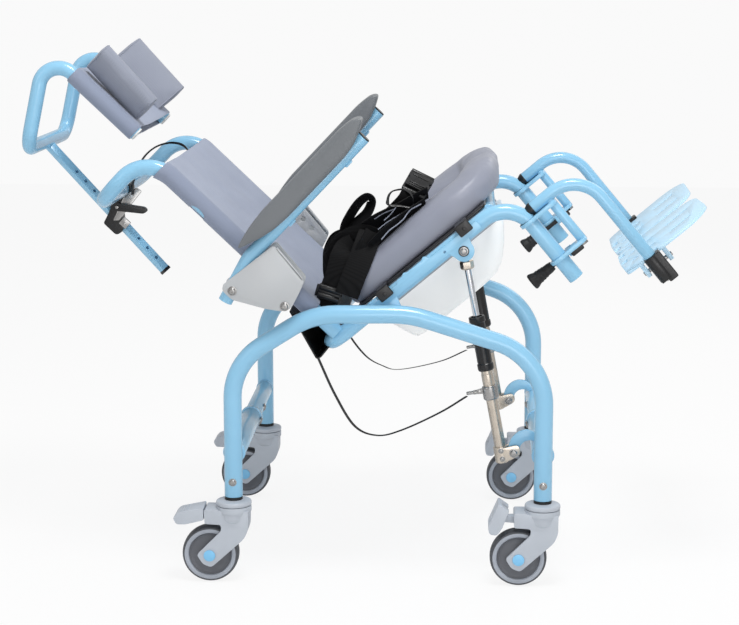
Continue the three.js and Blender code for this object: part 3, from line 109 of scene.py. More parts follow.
# %% Drawing helpers
def clear_selection():
    """Leaves edit mode and deselects everything."""
    if bpy.context.object and bpy.context.object.mode != "OBJECT":
        bpy.ops.object.mode_set(mode="OBJECT")
    bpy.ops.object.select_all(action="DESELECT")


def pick(piece):
    """Makes one piece the selected and active one."""
    clear_selection()
    piece.select_set(True)
    bpy.context.view_layer.objects.active = piece


SAME_PLACE = 0.00002


def draw_line(name, points):
    """A chain of edges through the points (millimetres), left selected in edit mode."""
    clear_selection()
    bpy.ops.mesh.primitive_plane_add(size=MM)
    piece = bpy.context.object
    piece.name = name
    bpy.ops.object.mode_set(mode="EDIT")
    bpy.ops.mesh.merge(type="CENTER")
    bpy.ops.transform.translate(value=Vector(points[0]) * MM)
    for before, after in zip(points, points[1:]):
        step = (Vector(after) - Vector(before)) * MM
        bpy.ops.mesh.extrude_vertices_move(TRANSFORM_OT_translate={"value": step})
    bpy.ops.mesh.select_all(action="SELECT")
    return piece


def rounded(outline, steps=4, closed=True):
    """Points of an outline whose third number, where given, rounds that corner."""
    made = []
    count = len(outline)
    for i, corner in enumerate(outline):
        at = Vector(corner[:2])
        radius = corner[2] if len(corner) > 2 else 0
        if radius == 0 or (not closed and i in (0, count - 1)):
            made.append(at)
            continue
        back = Vector(outline[i - 1][:2]) - at
        on = Vector(outline[(i + 1) % count][:2]) - at
        reach = min(radius, back.length / 2.05, on.length / 2.05)
        enter, leave = at + back.normalized() * reach, at + on.normalized() * reach
        for k in range(steps + 1):
            t = k / steps
            made.append(enter * (1 - t) ** 2 + at * 2 * t * (1 - t) + leave * t * t)
    return made


def tidy_faces():
    """In edit mode: joins doubled points and points every face outwards."""
    bpy.ops.mesh.select_all(action="SELECT")
    bpy.ops.mesh.remove_doubles(threshold=SAME_PLACE)
    bpy.ops.mesh.normals_make_consistent(inside=False)
    bpy.ops.object.mode_set(mode="OBJECT")


def turned_out(piece):
    """Points the faces of a finished piece outwards again, as after a mirror or a swap of axes."""
    pick(piece)
    bpy.ops.object.mode_set(mode="EDIT")
    tidy_faces()
    return piece


def put(piece, place):
    """Moves a piece into its frame and applies the place to its mesh."""
    pick(piece)
    piece.matrix_world = place @ piece.matrix_world
    bpy.ops.object.transform_apply(location=True, rotation=True, scale=True)
    return piece


def plate(name, outline, from_y, to_y, steps=4):
    """A plate with its outline in the X-Z plane, drawn out along Y."""
    points = [(p[0], from_y, p[1]) for p in rounded(outline, steps)]
    piece = draw_line(name, points + points[:1])
    bpy.ops.mesh.remove_doubles(threshold=SAME_PLACE)
    bpy.ops.mesh.edge_face_add()
    bpy.ops.mesh.extrude_region_move(TRANSFORM_OT_translate={"value": (0, (to_y - from_y) * MM, 0)})
    tidy_faces()
    return piece


def turned(name, profile, sides=32, steps=3):
    """A turned shape: (radius, height) points spun round the Z axis."""
    points = [(p[0], 0, p[1]) for p in rounded(profile, steps, closed=False)]
    piece = draw_line(name, points)
    bpy.ops.mesh.spin(steps=sides, angle=2 * math.pi, center=(0, 0, 0), axis=(0, 0, 1))
    tidy_faces()
    return piece


def skin_rings(name, rings, cap=(False, False)):
    """Rings of points (millimetres) joined by faces; each ring is extruded and moved to the next."""
    piece = draw_line(name, rings[0] + rings[0][:1])
    bpy.ops.mesh.remove_doubles(threshold=SAME_PLACE)
    if cap[0]:
        bpy.ops.mesh.edge_face_add()
        bpy.ops.mesh.select_mode(type="EDGE")
        bpy.ops.mesh.region_to_loop()
    for before, after in zip(rings, rings[1:]):
        before = [Vector(p) * MM for p in before]
        bpy.ops.mesh.extrude_edges_move(TRANSFORM_OT_translate={"value": (0, 0, 0)})
        grid = bmesh.from_edit_mesh(piece.data)
        for vertex in [v for v in grid.verts if v.select]:
            index = min(range(len(before)), key=lambda i: (vertex.co - before[i]).length_squared)
            vertex.co = Vector(after[index]) * MM
        bmesh.update_edit_mesh(piece.data)
    if cap[1]:
        bpy.ops.mesh.edge_face_add()
    bpy.ops.mesh.select_mode(type="VERT")
    tidy_faces()
    return piece


def aim(direction, at=(0, 0, 0)):
    """Matrix that turns the Z axis to a direction and moves it to a place in millimetres."""
    turn = Vector(direction).to_track_quat("Z", "Y").to_matrix().to_4x4()
    return Matrix.Translation(Vector(at) * MM) @ turn


print("helpers ready")

# %% [markdown]
# A bent tube could be a curve with a round bevel. Here it is made as a tube bender makes it: a circle is
# extruded straight up to the bend, spun round the centre of the bend, and extruded on. So each bend is a
# true arc with a radius of its own.

# %% Tube helper
def bent_tube(name, corners, bends, radius, sides=28, arc_step=7.5):
    """A round tube through the corners, each bent with its own radius (millimetres)."""
    points = [Vector(p) * MM for p in corners]
    along = (points[1] - points[0]).normalized()
    turn = along.to_track_quat("Z", "Y").to_euler()
    clear_selection()
    bpy.ops.mesh.primitive_circle_add(
        vertices=sides, radius=radius * MM, fill_type="NGON", location=points[0], rotation=turn
    )
    piece = bpy.context.object
    piece.name = name
    bpy.ops.object.transform_apply(location=True, rotation=True, scale=True)
    bpy.ops.object.mode_set(mode="EDIT")
    bpy.ops.mesh.select_all(action="SELECT")
    at = points[0]
    for corner, after, bend in zip(points[1:-1], points[2:], bends):
        along = (corner - at).normalized()
        onward = (after - corner).normalized()
        angle = along.angle(onward)
        axis = along.cross(onward).normalized()
        reach = bend * MM * math.tan(angle / 2)
        start = corner - along * reach
        bpy.ops.mesh.extrude_region_move(TRANSFORM_OT_translate={"value": start - at})
        centre = start + axis.cross(along) * bend * MM
        steps = max(3, round(math.degrees(angle) / arc_step))
        bpy.ops.mesh.spin(steps=steps, angle=-angle, center=centre, axis=axis)
        at = corner + onward * reach
    bpy.ops.mesh.extrude_region_move(TRANSFORM_OT_translate={"value": points[-1] - at})
    tidy_faces()
    return piece


def rod(name, start, end, radius, sides=24):
    return bent_tube(name, [start, end], [], radius, sides)


print("tube helper ready")

# %% [markdown]
# Real edges are never sharp, so a Bevel modifier softens them and is applied. Holes are cut with a Boolean.
# The left half of the chair is the right half seen in a mirror, so a piece is modelled once, copied with a
# mesh of its own, and mirrored; its faces are then turned outwards again.

# %% Finishing helpers
def apply(piece, kind, **settings):
    """Adds one modifier, sets it and applies it."""
    pick(piece)
    bpy.ops.object.modifier_add(type=kind)
    modifier = piece.modifiers[-1]
    for key, value in settings.items():
        setattr(modifier, key, value)
    bpy.ops.object.modifier_apply(modifier=modifier.name)
    return piece


def soften(piece, width, segments=2, angle=35):
    return apply(
        piece, "BEVEL", width=width * MM, segments=segments, limit_method="ANGLE",
        angle_limit=math.radians(angle), use_clamp_overlap=True,
    )


def cut_by(piece, *tools):
    for tool in tools:
        apply(piece, "BOOLEAN", operation="DIFFERENCE", solver="EXACT", object=tool)
        pick(tool)
        bpy.ops.object.delete()
    return piece


def joined(name, *pieces):
    """Several shapes as one piece."""
    clear_selection()
    for piece in pieces:
        piece.select_set(True)
    bpy.context.view_layer.objects.active = pieces[0]
    if len(pieces) > 1:
        bpy.ops.object.join()
    pieces[0].name = name
    return pieces[0]


def copied(piece, name, place=Matrix.Identity(4)):
    """A copy with its own mesh, moved by a matrix."""
    pick(piece)
    bpy.ops.object.duplicate(linked=False)
    twin = bpy.context.object
    twin.name = name
    put(twin, place)
    if place.determinant() < 0:
        bpy.ops.object.mode_set(mode="EDIT")
        bpy.ops.mesh.select_all(action="SELECT")
        bpy.ops.mesh.normals_make_consistent(inside=False)
        bpy.ops.object.mode_set(mode="OBJECT")
    return twin


MIRROR = Matrix.Scale(-1, 4, (0, 1, 0))
finishes = {}


def finish_piece(piece, finish, body, *nodes, smooth=35):
    """Shades, paints and hands a piece to the body that carries it."""
    pick(piece)
    bpy.ops.object.shade_smooth_by_angle(angle=math.radians(smooth))
    material, slot = finishes[finish]
    piece.data.materials.clear()
    piece.data.materials.append(material)
    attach(piece, body)
    if nodes:
        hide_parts(*nodes)
    return piece


def other(text):
    return text.replace("right", "left")


def finish_pair(piece, finish, body, *nodes, smooth=35):
    """The same for a right-hand piece and its mirrored left-hand twin."""
    twin = copied(piece, other(piece.name), MIRROR)
    finish_piece(piece, finish, body, *nodes, smooth=smooth)
    finish_piece(twin, finish, other(body), *[other(n) for n in nodes], smooth=smooth)
    return piece, twin


print("finishing helpers ready")

# %% [markdown]
# Materials are sums of nodes. A small class holds a node's output, so that `1 - mask * 0.3` adds the Math
# nodes by itself, and one method adds any other node: its settings first, then its sockets.

# %% Shader helpers
class Wire:
    """One output of a node, for use in sums."""

    def __init__(self, finish, socket):
        self.finish = finish
        self.socket = socket

    def maths(self, operation, first, second=0.0):
        return self.finish.node("ShaderNodeMath", {"operation": operation}, {0: first, 1: second})

    def __add__(self, value):
        return self.maths("ADD", self, value)

    def __sub__(self, value):
        return self.maths("SUBTRACT", self, value)

    def __rsub__(self, value):
        return self.maths("SUBTRACT", value, self)

    def __mul__(self, value):
        return self.maths("MULTIPLY", self, value)

    __radd__, __rmul__ = __add__, __mul__

    def __gt__(self, value):
        return self.maths("GREATER_THAN", self, value)

    def sine(self):
        return self.maths("SINE", self)

    def size(self):
        return self.maths("ABSOLUTE", self)


def linear(channel):
    """A display colour channel as the linear value that the shader wants."""
    return channel / 12.92 if channel <= 0.04045 else ((channel + 0.055) / 1.055) ** 2.4


class Finish:
    """A material built one node at a time; values that never vary are set on the shader itself."""

    def __init__(self, name, slot, colour, **sockets):
        self.material = bpy.data.materials.new(name)
        self.material.use_nodes = True
        self.tree = self.material.node_tree
        self.shader = self.tree.nodes["Principled BSDF"]
        self.colour = (*[linear(channel) for channel in colour], 1)
        self.shader.inputs["Base Color"].default_value = self.colour
        for key, value in sockets.items():
            self.shader.inputs[key.replace("_", " ")].default_value = value
        self.material.diffuse_color = self.colour
        finishes[name] = (self.material, slot)

    def node(self, kind, settings=None, inputs=None, output=0):
        made = self.tree.nodes.new(kind)
        for key, value in (settings or {}).items():
            setattr(made, key, value)
        for key, value in (inputs or {}).items():
            if isinstance(value, Wire):
                self.tree.links.new(value.socket, made.inputs[key])
            else:
                made.inputs[key].default_value = value
        return Wire(self, made.outputs[output])

    def places(self, scale=(1, 1, 1), turn=0.0):
        """Object coordinates in metres, turned about Y and stretched."""
        where = self.node("ShaderNodeTexCoord", output="Object")
        turned_by = {"Vector": where, "Rotation": (0, math.radians(turn), 0)}
        flat = self.node("ShaderNodeMapping", {}, turned_by)
        return self.node("ShaderNodeMapping", {}, {"Vector": flat, "Scale": scale})

    def axes(self, vector):
        """The X, Y and Z of a vector."""
        split = self.node("ShaderNodeSeparateXYZ", {}, {0: vector}).socket.node
        return [Wire(self, output) for output in split.outputs]

    def noise(self, size, detail=2.0, vector=None):
        """Soft noise; its grain size is in millimetres."""
        vector = vector or self.places()
        settings = {"Vector": vector, "Scale": 1 / (size * MM), "Detail": detail}
        return self.node("ShaderNodeTexNoise", {}, settings)

    def cells(self, size, vector=None):
        vector = vector or self.places()
        return self.node("ShaderNodeTexVoronoi", {}, {"Vector": vector, "Scale": 1 / (size * MM)})

    def ramp(self, value, low, high, dark=0.0, light=1.0):
        return self.node("ShaderNodeMapRange", {}, {0: value, 1: low, 2: high, 3: dark, 4: light})

    def tint(self, mask, other_colour):
        """Base colour that goes over to another one where the mask is 1."""
        other_colour = (*[c * k for c, k in zip(self.colour, other_colour)], 1)
        mixed = self.node(
            "ShaderNodeMix", {"data_type": "RGBA"}, {0: mask, 6: self.colour, 7: other_colour}, output=2
        )
        self.tree.links.new(mixed.socket, self.shader.inputs["Base Color"])
        return self

    def rough(self, value):
        self.tree.links.new(value.socket, self.shader.inputs["Roughness"])
        return self

    def bump(self, height, depth, strength=1.0):
        """Height from 0 to 1 becomes a relief this many millimetres deep."""
        relief = self.node(
            "ShaderNodeBump", {}, {"Height": height, "Distance": depth * MM, "Strength": strength}
        )
        self.tree.links.new(relief.socket, self.shader.inputs["Normal"])
        return self


print("shader helpers ready")

# %% [markdown]
# Powder coat is a thick gloss paint that is baked on. It flows out with a faint orange peel, so the relief
# is a soft noise a few millimetres wide, and the colour varies a little where the coat is thicker.

# %% Powder coats
def powder_coat(name, slot, colour, roughness, peel):
    coat = Finish(name, slot, colour, Coat_Weight=0.25, Coat_Roughness=0.06, IOR=1.5)
    coat.tint(coat.ramp(coat.noise(90), 0.35, 0.7), (0.965, 0.98, 0.99))
    coat.rough(coat.ramp(coat.noise(40, 1), 0.3, 0.7, roughness - 0.02, roughness + 0.03))
    coat.bump(coat.noise(6, 0), 0.03, peel)
    return coat


powder_coat("blue coat", "blue_coat", (0.55, 0.76, 0.88), 0.2, 0.15)
powder_coat("pale blue coat", "pale_blue", (0.76, 0.90, 0.985), 0.35, 0.25)
powder_coat("sheet grey coat", "plate_grey", (0.71, 0.72, 0.73), 0.4, 0.3)
print("coats:", len(finishes))

# %% [markdown]
# Moulded plastics keep the fine grain of the tool. Rubber is rougher, and the skin of a foam pad has tiny
# pebbles with a soft sheen. All of them take their relief from noise or cells at their real size.

# %% Plastics, rubber and foam skins
def moulded(name, slot, colour, roughness, grain, depth, shade=0.9):
    stuff = Finish(name, slot, colour)
    stuff.tint(stuff.ramp(stuff.noise(30, 3), 0.3, 0.7), (shade, shade, shade))
    stuff.rough(stuff.ramp(stuff.noise(grain * 5, 2), 0.3, 0.7, roughness - 0.06, roughness + 0.08))
    stuff.bump(stuff.noise(grain, 2), depth, 0.6)
    return stuff


def foam_skin(name, slot, colour, roughness):
    skin = Finish(name, slot, colour, Sheen_Weight=0.06, Sheen_Roughness=0.5)
    skin.tint(skin.ramp(skin.noise(45, 3), 0.35, 0.7), (0.96, 0.96, 0.965))
    pebbles = skin.cells(1.1)
    skin.rough(skin.ramp(skin.noise(20, 2), 0.3, 0.7, roughness - 0.05, roughness + 0.06))
    skin.bump(pebbles * 0.4 + skin.noise(9, 2) * 0.8, 0.07, 0.45)
    return skin


moulded("caster shell", "caster_grey", (0.71, 0.735, 0.77), 0.4, 0.9, 0.03, 0.95)
moulded("caster rim", "caster_grey", (0.64, 0.665, 0.705), 0.38, 0.9, 0.05)
moulded("tyre rubber", "tyre_grey", (0.30, 0.31, 0.33), 0.6, 1.2, 0.08, 0.85)
moulded("wheel disc", "tyre_grey", (0.37, 0.38, 0.405), 0.5, 0.8, 0.05, 0.9)
moulded("hub cap", "blue_coat", (0.50, 0.76, 0.92), 0.35, 0.9, 0.03, 0.95)
moulded("black plastic", "black_plastic", (0.07, 0.07, 0.078), 0.33, 0.8, 0.05, 0.8)
moulded("black rubber", "black_plastic", (0.055, 0.055, 0.06), 0.6, 1.0, 0.1, 0.8)
moulded("white plug", "pan_white", (0.88, 0.88, 0.87), 0.4, 0.8, 0.03, 0.96)
foam_skin("cushion skin", "cushion_skin", (0.545, 0.56, 0.615), 0.4)
foam_skin("pad skin", "pad_grey", (0.42, 0.435, 0.45), 0.42)
pan_stuff = moulded("pan plastic", "pan_white", (0.975, 0.975, 0.965), 0.34, 1.6, 0.05, 0.985)
pan_stuff.shader.inputs["Subsurface Weight"].default_value = 0.15
pan_stuff.shader.inputs["Subsurface Radius"].default_value = (0.05, 0.05, 0.05)
pan_stuff.shader.inputs["Subsurface Scale"].default_value = 0.2
# Painted light: the pan glows faintly, though it is no lamp, so that it reads whiter.
pan_stuff.shader.inputs["Emission Color"].default_value = (0.95, 0.96, 1.0, 1.0)
pan_stuff.shader.inputs["Emission Strength"].default_value = 0.13
print("plastics and skins:", len(finishes))

# %% [markdown]
# Polished chrome, nickel plate and zinc differ in colour and in how far they are brushed. The streaks are a
# noise that is stretched along one axis.

# %% Metals
def plated(name, slot, colour, roughness, stretch, depth):
    metal = Finish(name, slot, colour, Metallic=1.0)
    streaks = metal.noise(1.2, 3, metal.places(stretch))
    metal.tint(metal.ramp(metal.noise(18, 2), 0.3, 0.75), (0.86, 0.86, 0.86))
    metal.rough(metal.ramp(streaks, 0.3, 0.7, roughness - 0.05, roughness + 0.09))
    metal.bump(streaks, depth, 0.4)
    return metal


plated("chrome", "chrome_rod", (0.86, 0.87, 0.89), 0.12, (1, 1, 0.05), 0.005)
plated("nickel", "nickel", (0.80, 0.76, 0.71), 0.27, (1, 1, 0.08), 0.02)
plated("zinc", "nickel", (0.66, 0.655, 0.65), 0.24, (1, 1, 1), 0.03)
print("metals ready")

# %% [markdown]
# The backrest cloth is an open weave of thick yarn. Sines along the two thread directions give a basket
# pattern: where a check is even the warp lies on top, elsewhere the weft. Webbing has ribs along its length.

# %% Cloth and webbing
def basket(cloth, pitch, turn):
    """Height of a plain weave, 0 to 1, with its threads along Y and the turned Z axis."""
    _, across, upright = cloth.axes(cloth.places(turn=turn))
    across = across * (math.pi / (pitch * MM))
    upright = upright * (math.pi / (pitch * MM))
    over = (across.sine() * upright.sine()) > 0.0
    return over * across.sine().size() + (1 - over) * upright.sine().size()


def woven(name, colour, pitch, turn, side=1.0):
    """Cloth with painted shade beyond this Y in metres, on the side where a sleeve turns round its tube."""
    cloth = Finish(name, "grey_cloth", colour, Sheen_Weight=0.25, Sheen_Roughness=0.4)
    weave = basket(cloth, pitch, turn)
    worn = cloth.ramp(cloth.noise(60, 4), 0.35, 0.68)
    # Painted shade: beyond the given Y the cloth is darkened, as if the side of the sleeve were in shade.
    reach = cloth.axes(cloth.places())[1].size()
    painted_side_shade = cloth.ramp(reach, side - 0.004, side + 0.008)
    cloth.tint((1 - weave) * 0.3 + worn * 0.25 + painted_side_shade, (0.74, 0.75, 0.77))
    cloth.rough(cloth.ramp(weave, 0, 1, 0.9, 0.75))
    cloth.bump(weave * 0.5 + cloth.noise(26, 3) * 2.5, 0.3, 0.6)
    return cloth


def webbing(name, slot, colour, pitch):
    strap = Finish(name, slot, colour, Specular_IOR_Level=0.18)
    ribs = (strap.axes(strap.places())[1] * (math.pi / (pitch * MM))).sine().size()
    threads = strap.noise(0.9, 2)
    strap.tint(ribs * 0.15 + threads * 0.3, (1.6, 1.6, 1.65))
    strap.rough(strap.ramp(ribs, 0, 1, 0.82, 0.62))
    strap.bump(ribs * 0.4 + threads, 0.15, 0.5)
    return strap


# The last number is the Y in metres beyond which the side of each sleeve gets painted shade.
woven("blue grey cloth", (0.60, 0.635, 0.715), 2.6, 46.5, 0.240)
woven("head cloth", (0.60, 0.635, 0.715), 2.6, 46.5, 0.168)
woven("wing cloth", (0.565, 0.585, 0.64), 2.4, 46.5)
webbing("black webbing", "black_webbing", (0.034, 0.034, 0.04), 1.5)
webbing("grey piping", "grey_cloth", (0.53, 0.55, 0.60), 1.2)
print("finishes:", sorted(finishes))

# %% [markdown]
# Two thin control cables run from the back of the seat to the release heads of the struts, and one from the
# tilt lever to the back. Both ends are held, so each hangs in one stiff curve. A cable is a tube that
# follows points on a smooth line.

# %% Control cables
def smooth_line(points, per_span=8):
    """Catmull-Rom points through the given ones (millimetres)."""
    ends = [Vector(points[0]) * 2 - Vector(points[1])] + [Vector(p) for p in points]
    ends.append(Vector(points[-1]) * 2 - Vector(points[-2]))
    line = []
    for a, b, c, d in zip(ends, ends[1:], ends[2:], ends[3:]):
        for k in range(per_span):
            t = k / per_span
            bend, twist = a * 2 - b * 5 + c * 4 - d, b * 3 - a - c * 3 + d
            line.append((b * 2 + (c - a) * t + bend * t ** 2 + twist * t ** 3) / 2)
    return line + [ends[-2]]


def cable(name, points, place, radius, sides=12):
    """A thin tube swept along a smooth line; returns the piece and the line in metres."""
    line = smooth_line(points)
    clear_selection()
    bpy.ops.mesh.primitive_circle_add(vertices=sides, radius=radius * MM, fill_type="NGON")
    piece = bpy.context.object
    piece.name = name
    along = (line[1] - line[0]).normalized()
    put(piece, aim(along, line[0]))
    bpy.ops.object.mode_set(mode="EDIT")
    bpy.ops.mesh.select_all(action="SELECT")
    for k in range(1, len(line)):
        after = line[min(k + 1, len(line) - 1)] - line[k - 1]
        turn = along.rotation_difference(after.normalized())
        bpy.ops.mesh.extrude_region_move(TRANSFORM_OT_translate={"value": (line[k] - line[k - 1]) * MM})
        if turn.angle > 0.001:
            axis, angle = turn.to_axis_angle()
            side = axis.orthogonal().normalized()
            frame_of_turn = Matrix((side, axis.cross(side), axis)).transposed()
            bpy.ops.transform.rotate(
                value=-angle, orient_axis="Z", orient_type="GLOBAL", orient_matrix=frame_of_turn,
                orient_matrix_type="GLOBAL", center_override=line[k] * MM,
            )
        along = after.normalized()
    tidy_faces()
    put(piece, place)
    return piece, [place @ (p * MM) for p in line]


cable_routes = {
    "right": [
        (-128, -196, 386), (-97, -198, 318), (-62, -200, 262), (-22, -202, 246), (22, -205, 257),
        (90, -210, 291), (136.6, -212, 321),
    ],
    "left": [
        (-104, 196, 399.5), (-98, 198, 358), (-64, 200, 311), (-30, 202, 290), (5, 205, 282),
        (84, 210, 298), (136.6, 212, 321),
    ],
}
CABLE_RADIUS = 2.3


def declare_cord(line):
    """Returns the length of a line in metres."""
    long = sum((b - a).length for a, b in zip(line, line[1:]))
    return long


for side, route in cable_routes.items():
    piece, line = cable(f"control_cable_{side}", route, BASE, CABLE_RADIUS)
    finish_piece(piece, "black plastic", "base", f"cable_lower_{side}")
    long = declare_cord(line)
    piece.parent = None
    del piece["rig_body"]
    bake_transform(piece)
    print(piece.name, "length", round(long, 3))

upper_route = [
    (-114, -26, 442), (-102, -25, 453), (-86, -21, 462), (-62, -12, 472), (-40, 2, 475), (-20, 22, 470),
    (-3, 46, 456), (4, 64, 438), (0, 72, 418),
]
upper_cable, line = cable("lever_cable", upper_route, BACK, CABLE_RADIUS)
finish_piece(upper_cable, "black plastic", "seat", "cable_upper")
print("lever cable length", round(declare_cord(line), 3))

# %% [markdown]
# The base is two arched tubes, each bent four times in one plane. The wide sleeves of the cross tubes
# belong to the right side and the thinner tubes that slide in them to the left one, so the width can be set.

# %% Side tubes and cross tubes
LEG_X, LEG_Y = 271, 280
CROSS_HEIGHT = 228
ARCH = [(-LEG_X, 389.5), (-130.8, 478.4), (38.1, 479.9), (LEG_X, 406.7)]
corners = [(-LEG_X, -LEG_Y, 153), *[(x, -LEG_Y, z) for x, z in ARCH], (LEG_X, -LEG_Y, 153)]
side_tube = soften(bent_tube("side_tube_right", corners, [110, 150, 200, 118], 16, 32, 5), 0.8)
put(side_tube, BASE)
finish_pair(side_tube, "blue coat", "base", "base_side_tube_right")


def cross_piece(name, x, start_y, end_y, radius):
    piece = rod(name, (x, start_y, CROSS_HEIGHT), (x, end_y, CROSS_HEIGHT), radius, 32)
    return soften(piece, 0.8)


for where, x in (("rear", -LEG_X), ("front", LEG_X)):
    sleeve_tube = joined(
        f"cross_sleeve_{where}",
        cross_piece("sleeve", x, -268, 5, 19), cross_piece("ring", x, 3, 15, 21),
        cross_piece("weld", x, -265, -259, 20),
    )
    slider = joined(
        f"cross_slider_{where}", cross_piece("slider", x, 5, 268, 16),
        cross_piece("weld", x, 259, 264.5, 17.2),
    )
    for piece in (sleeve_tube, slider):
        put(piece, BASE)
        finish_piece(piece, "blue coat", "base")
print("base tubes ready")

# %% [markdown]
# A curved hook plate is welded to the front cross tube near each end and carries the foot of a strut. Its
# corners are rounded one by one and its edges are softened, as on a plate that is cut and then tumbled.

# %% Hook plates and pivot bosses
HOOK = [
    (210.5, 220, 3), (213, 214.5, 3), (221, 212, 4), (229, 215.5, 3), (231.5, 223, 3), (232, 233, 5),
    (240, 242, 6), (252, 244, 5), (268, 236, 3), (271, 246, 3), (258, 260, 8), (240, 263, 9), (226, 257, 8),
    (216, 246, 6), (211, 232, 6),
]
hook = soften(plate("hook", HOOK, -217, -207), 1.4, 3)
boss = soften(rod("boss", (221, -222, 222), (221, -202, 222), 9.5), 1)
hook = put(joined("strut_hook_right", hook, boss), BASE)
finish_pair(hook, "blue coat", "base")

pivot = put(soften(rod("pivot_boss_right", (6.3, -LEG_Y, 482.3), (6.3, -258.3, 482.3), 10), 1), BASE)
finish_pair(pivot, "blue coat", "base")
pivot_bolt = put(soften(rod("pivot_bolt_right", (6.3, -258.6, 482.3), (6.3, -249, 482.3), 7.5), 1.2), BASE)
finish_pair(pivot_bolt, "zinc", "base")
print("hooks and pivots ready")

# %% [markdown]
# Button-head bolts hold almost everything. One is modelled: a washer, a domed head from a profile that is
# spun, and a hexagonal socket cut into it. All others are copies, and those of one group are joined.

# %% Bolts
def bolt_shape(radius):
    """A domed head with a hexagonal socket and a washer under it, its axis along Z."""
    dome = [(0, 0), (radius, 0), (radius, 0.12 * radius, 0.1), (0.72 * radius, 0.52 * radius, 0.6)]
    head = turned("bolt", dome + [(0, 0.56 * radius)], 24)
    clear_selection()
    bpy.ops.mesh.primitive_cylinder_add(
        vertices=6, radius=radius * 0.42 * MM, depth=radius * MM, location=(0, 0, radius * 0.7 * MM)
    )
    cut_by(head, bpy.context.object)
    inner, outer = radius * 0.5, radius * 1.28
    washer = turned("washer", [(inner, -0.6), (outer, -0.6), (outer, 0.5, 0.3), (inner, 0.6)], 28)
    return joined("bolt_master", head, washer)


bolt_master = bolt_shape(5.5)


def set_bolts(name, body, finish, places, frame_matrix, size=1.0, both_sides=True):
    """Copies of the bolt at (x, y, z, direction) in one frame, joined; mirrored too if wanted."""
    made = []
    for x, y, z, direction in places:
        place = frame_matrix @ aim(direction, (x, y, z)) @ Matrix.Scale(size, 4)
        made.append(copied(bolt_master, name, place))
    piece = joined(name, *made)
    if both_sides:
        finish_pair(piece, finish, body)
    else:
        finish_piece(piece, finish, body)
    return piece


OUT, IN = (0, -1, 0), (0, 1, 0)
leg_bolts = [(x, -295.8, 181, OUT) for x in (-LEG_X, LEG_X)]
set_bolts("leg_bolts_right", "base", "zinc", leg_bolts, BASE)
set_bolts("hook_bolt_right", "base", "zinc", [(221, -225.6, 222, OUT), (221, -198.4, 222, IN)], BASE, 1.15)
set_bolts(
    "width_bolts", "base", "zinc",
    [
        (-255, 90, 228, (1, 0, -0.2)), (-253, 5, 222, (1, 0, -0.3)),
        (255, 150, 226, (-1, 0, -0.2)), (252, -4, 222, (-1, 0, -0.3)),
    ],
    BASE, 1.2, both_sides=False,
)
print("bolts set")

# %% [markdown]
# A caster is made once, with its hub at the origin, and copied to the four legs. The fork is a plate outline
# that is drawn out across the wheel, hollowed by a cylinder and rounded off; the wheel is a turned shape in
# three stuffs: a rubber tread, a pale rim and a dark disc.

# %% Caster pieces
FORK = [
    (68.6, 80, 2), (68.6, 47, 14), (61.5, 31, 8), (3, -21.5, 6), (-12, -15.5, 5), (-22.5, 1, 5),
    (21.3, 45, 7), (20.5, 56, 4), (-8, 57.5, 3), (-8.9, 83.5, 4), (12.5, 83.5, 2), (17.5, 81, 1),
]
TRAIL = 41.5
HUB_HEIGHT = 50
SWIVEL = Matrix.Translation((TRAIL * MM, 0, 0))


def caster_fork():
    body = plate("fork", FORK, -24, 24, 5)
    wheel_room = rod("room", (0, -18, 0), (0, 18, 0), 53, 48)
    cut_by(body, wheel_room)
    soften(body, 2.2, 3, 30)
    profile = [(0, 56), (22, 56, 3), (27.5, 62, 6), (28.5, 73, 3), (31, 77, 1), (31, 86.8, 1.5), (0, 87.2)]
    neck = turned("neck", profile, 40)
    put(neck, SWIVEL)
    arm = soften(plate("arm", [(-43, 64.5, 5), (-43, 74, 5), (0, 75.4), (0, 62)], -8.2, 8.2), 1.2)
    return joined("fork_master", body, neck, arm)


def caster_pedal():
    outline = [(26, 17.5, 3), (-20, 8, 9), (-28, -2, 4), (-22, -13, 4), (-6, -13, 4), (26, -5, 2)]
    body = plate("pedal", outline, -24, 24, 4)
    clear_selection()
    bpy.ops.mesh.primitive_cube_add(
        size=1, location=(18 * MM, 0, -3.5 * MM), scale=(54 * MM, 18.4 * MM, 25 * MM)
    )
    cut_by(body, bpy.context.object)
    soften(body, 2, 3, 30)
    crests = ((-14, 9), (-9, 10.2), (-4, 11.4))
    ribs = [soften(rod("rib", (x, -17, z), (x, 17, z), 1.1, 10), 0.4) for x, z in crests]
    return joined("pedal_master", body, *ribs)


def caster_wheel():
    tread = turned(
        "tread",
        [(43.5, -15.3), (48, -15.8, 2), (50, -8, 5), (50, 8, 5), (48, 15.8, 2), (43.5, 15.3),
         (43.5, -15.3)],
        56,
    )
    rim = turned(
        "rim",
        [(37, -9.5), (38.2, -14.6, 1), (41, -15.8, 1.5), (46.6, -15.4, 1), (46.6, 15.4, 1), (41, 15.8, 1.5),
         (38.2, 14.6, 1), (37, 9.5), (37, -9.5)],
        56,
    )
    disc = turned(
        "disc",
        [(6.4, -15.5), (13, -15.5, 1), (14.5, -12, 1.5), (33, -10.5, 2), (37.4, -13, 1), (37.4, 13, 1),
         (33, 10.5, 2), (14.5, 12, 1.5), (13, 15.5, 1), (6.4, 15.5), (6.4, -15.5)],
        48,
    )
    return tread, rim, disc


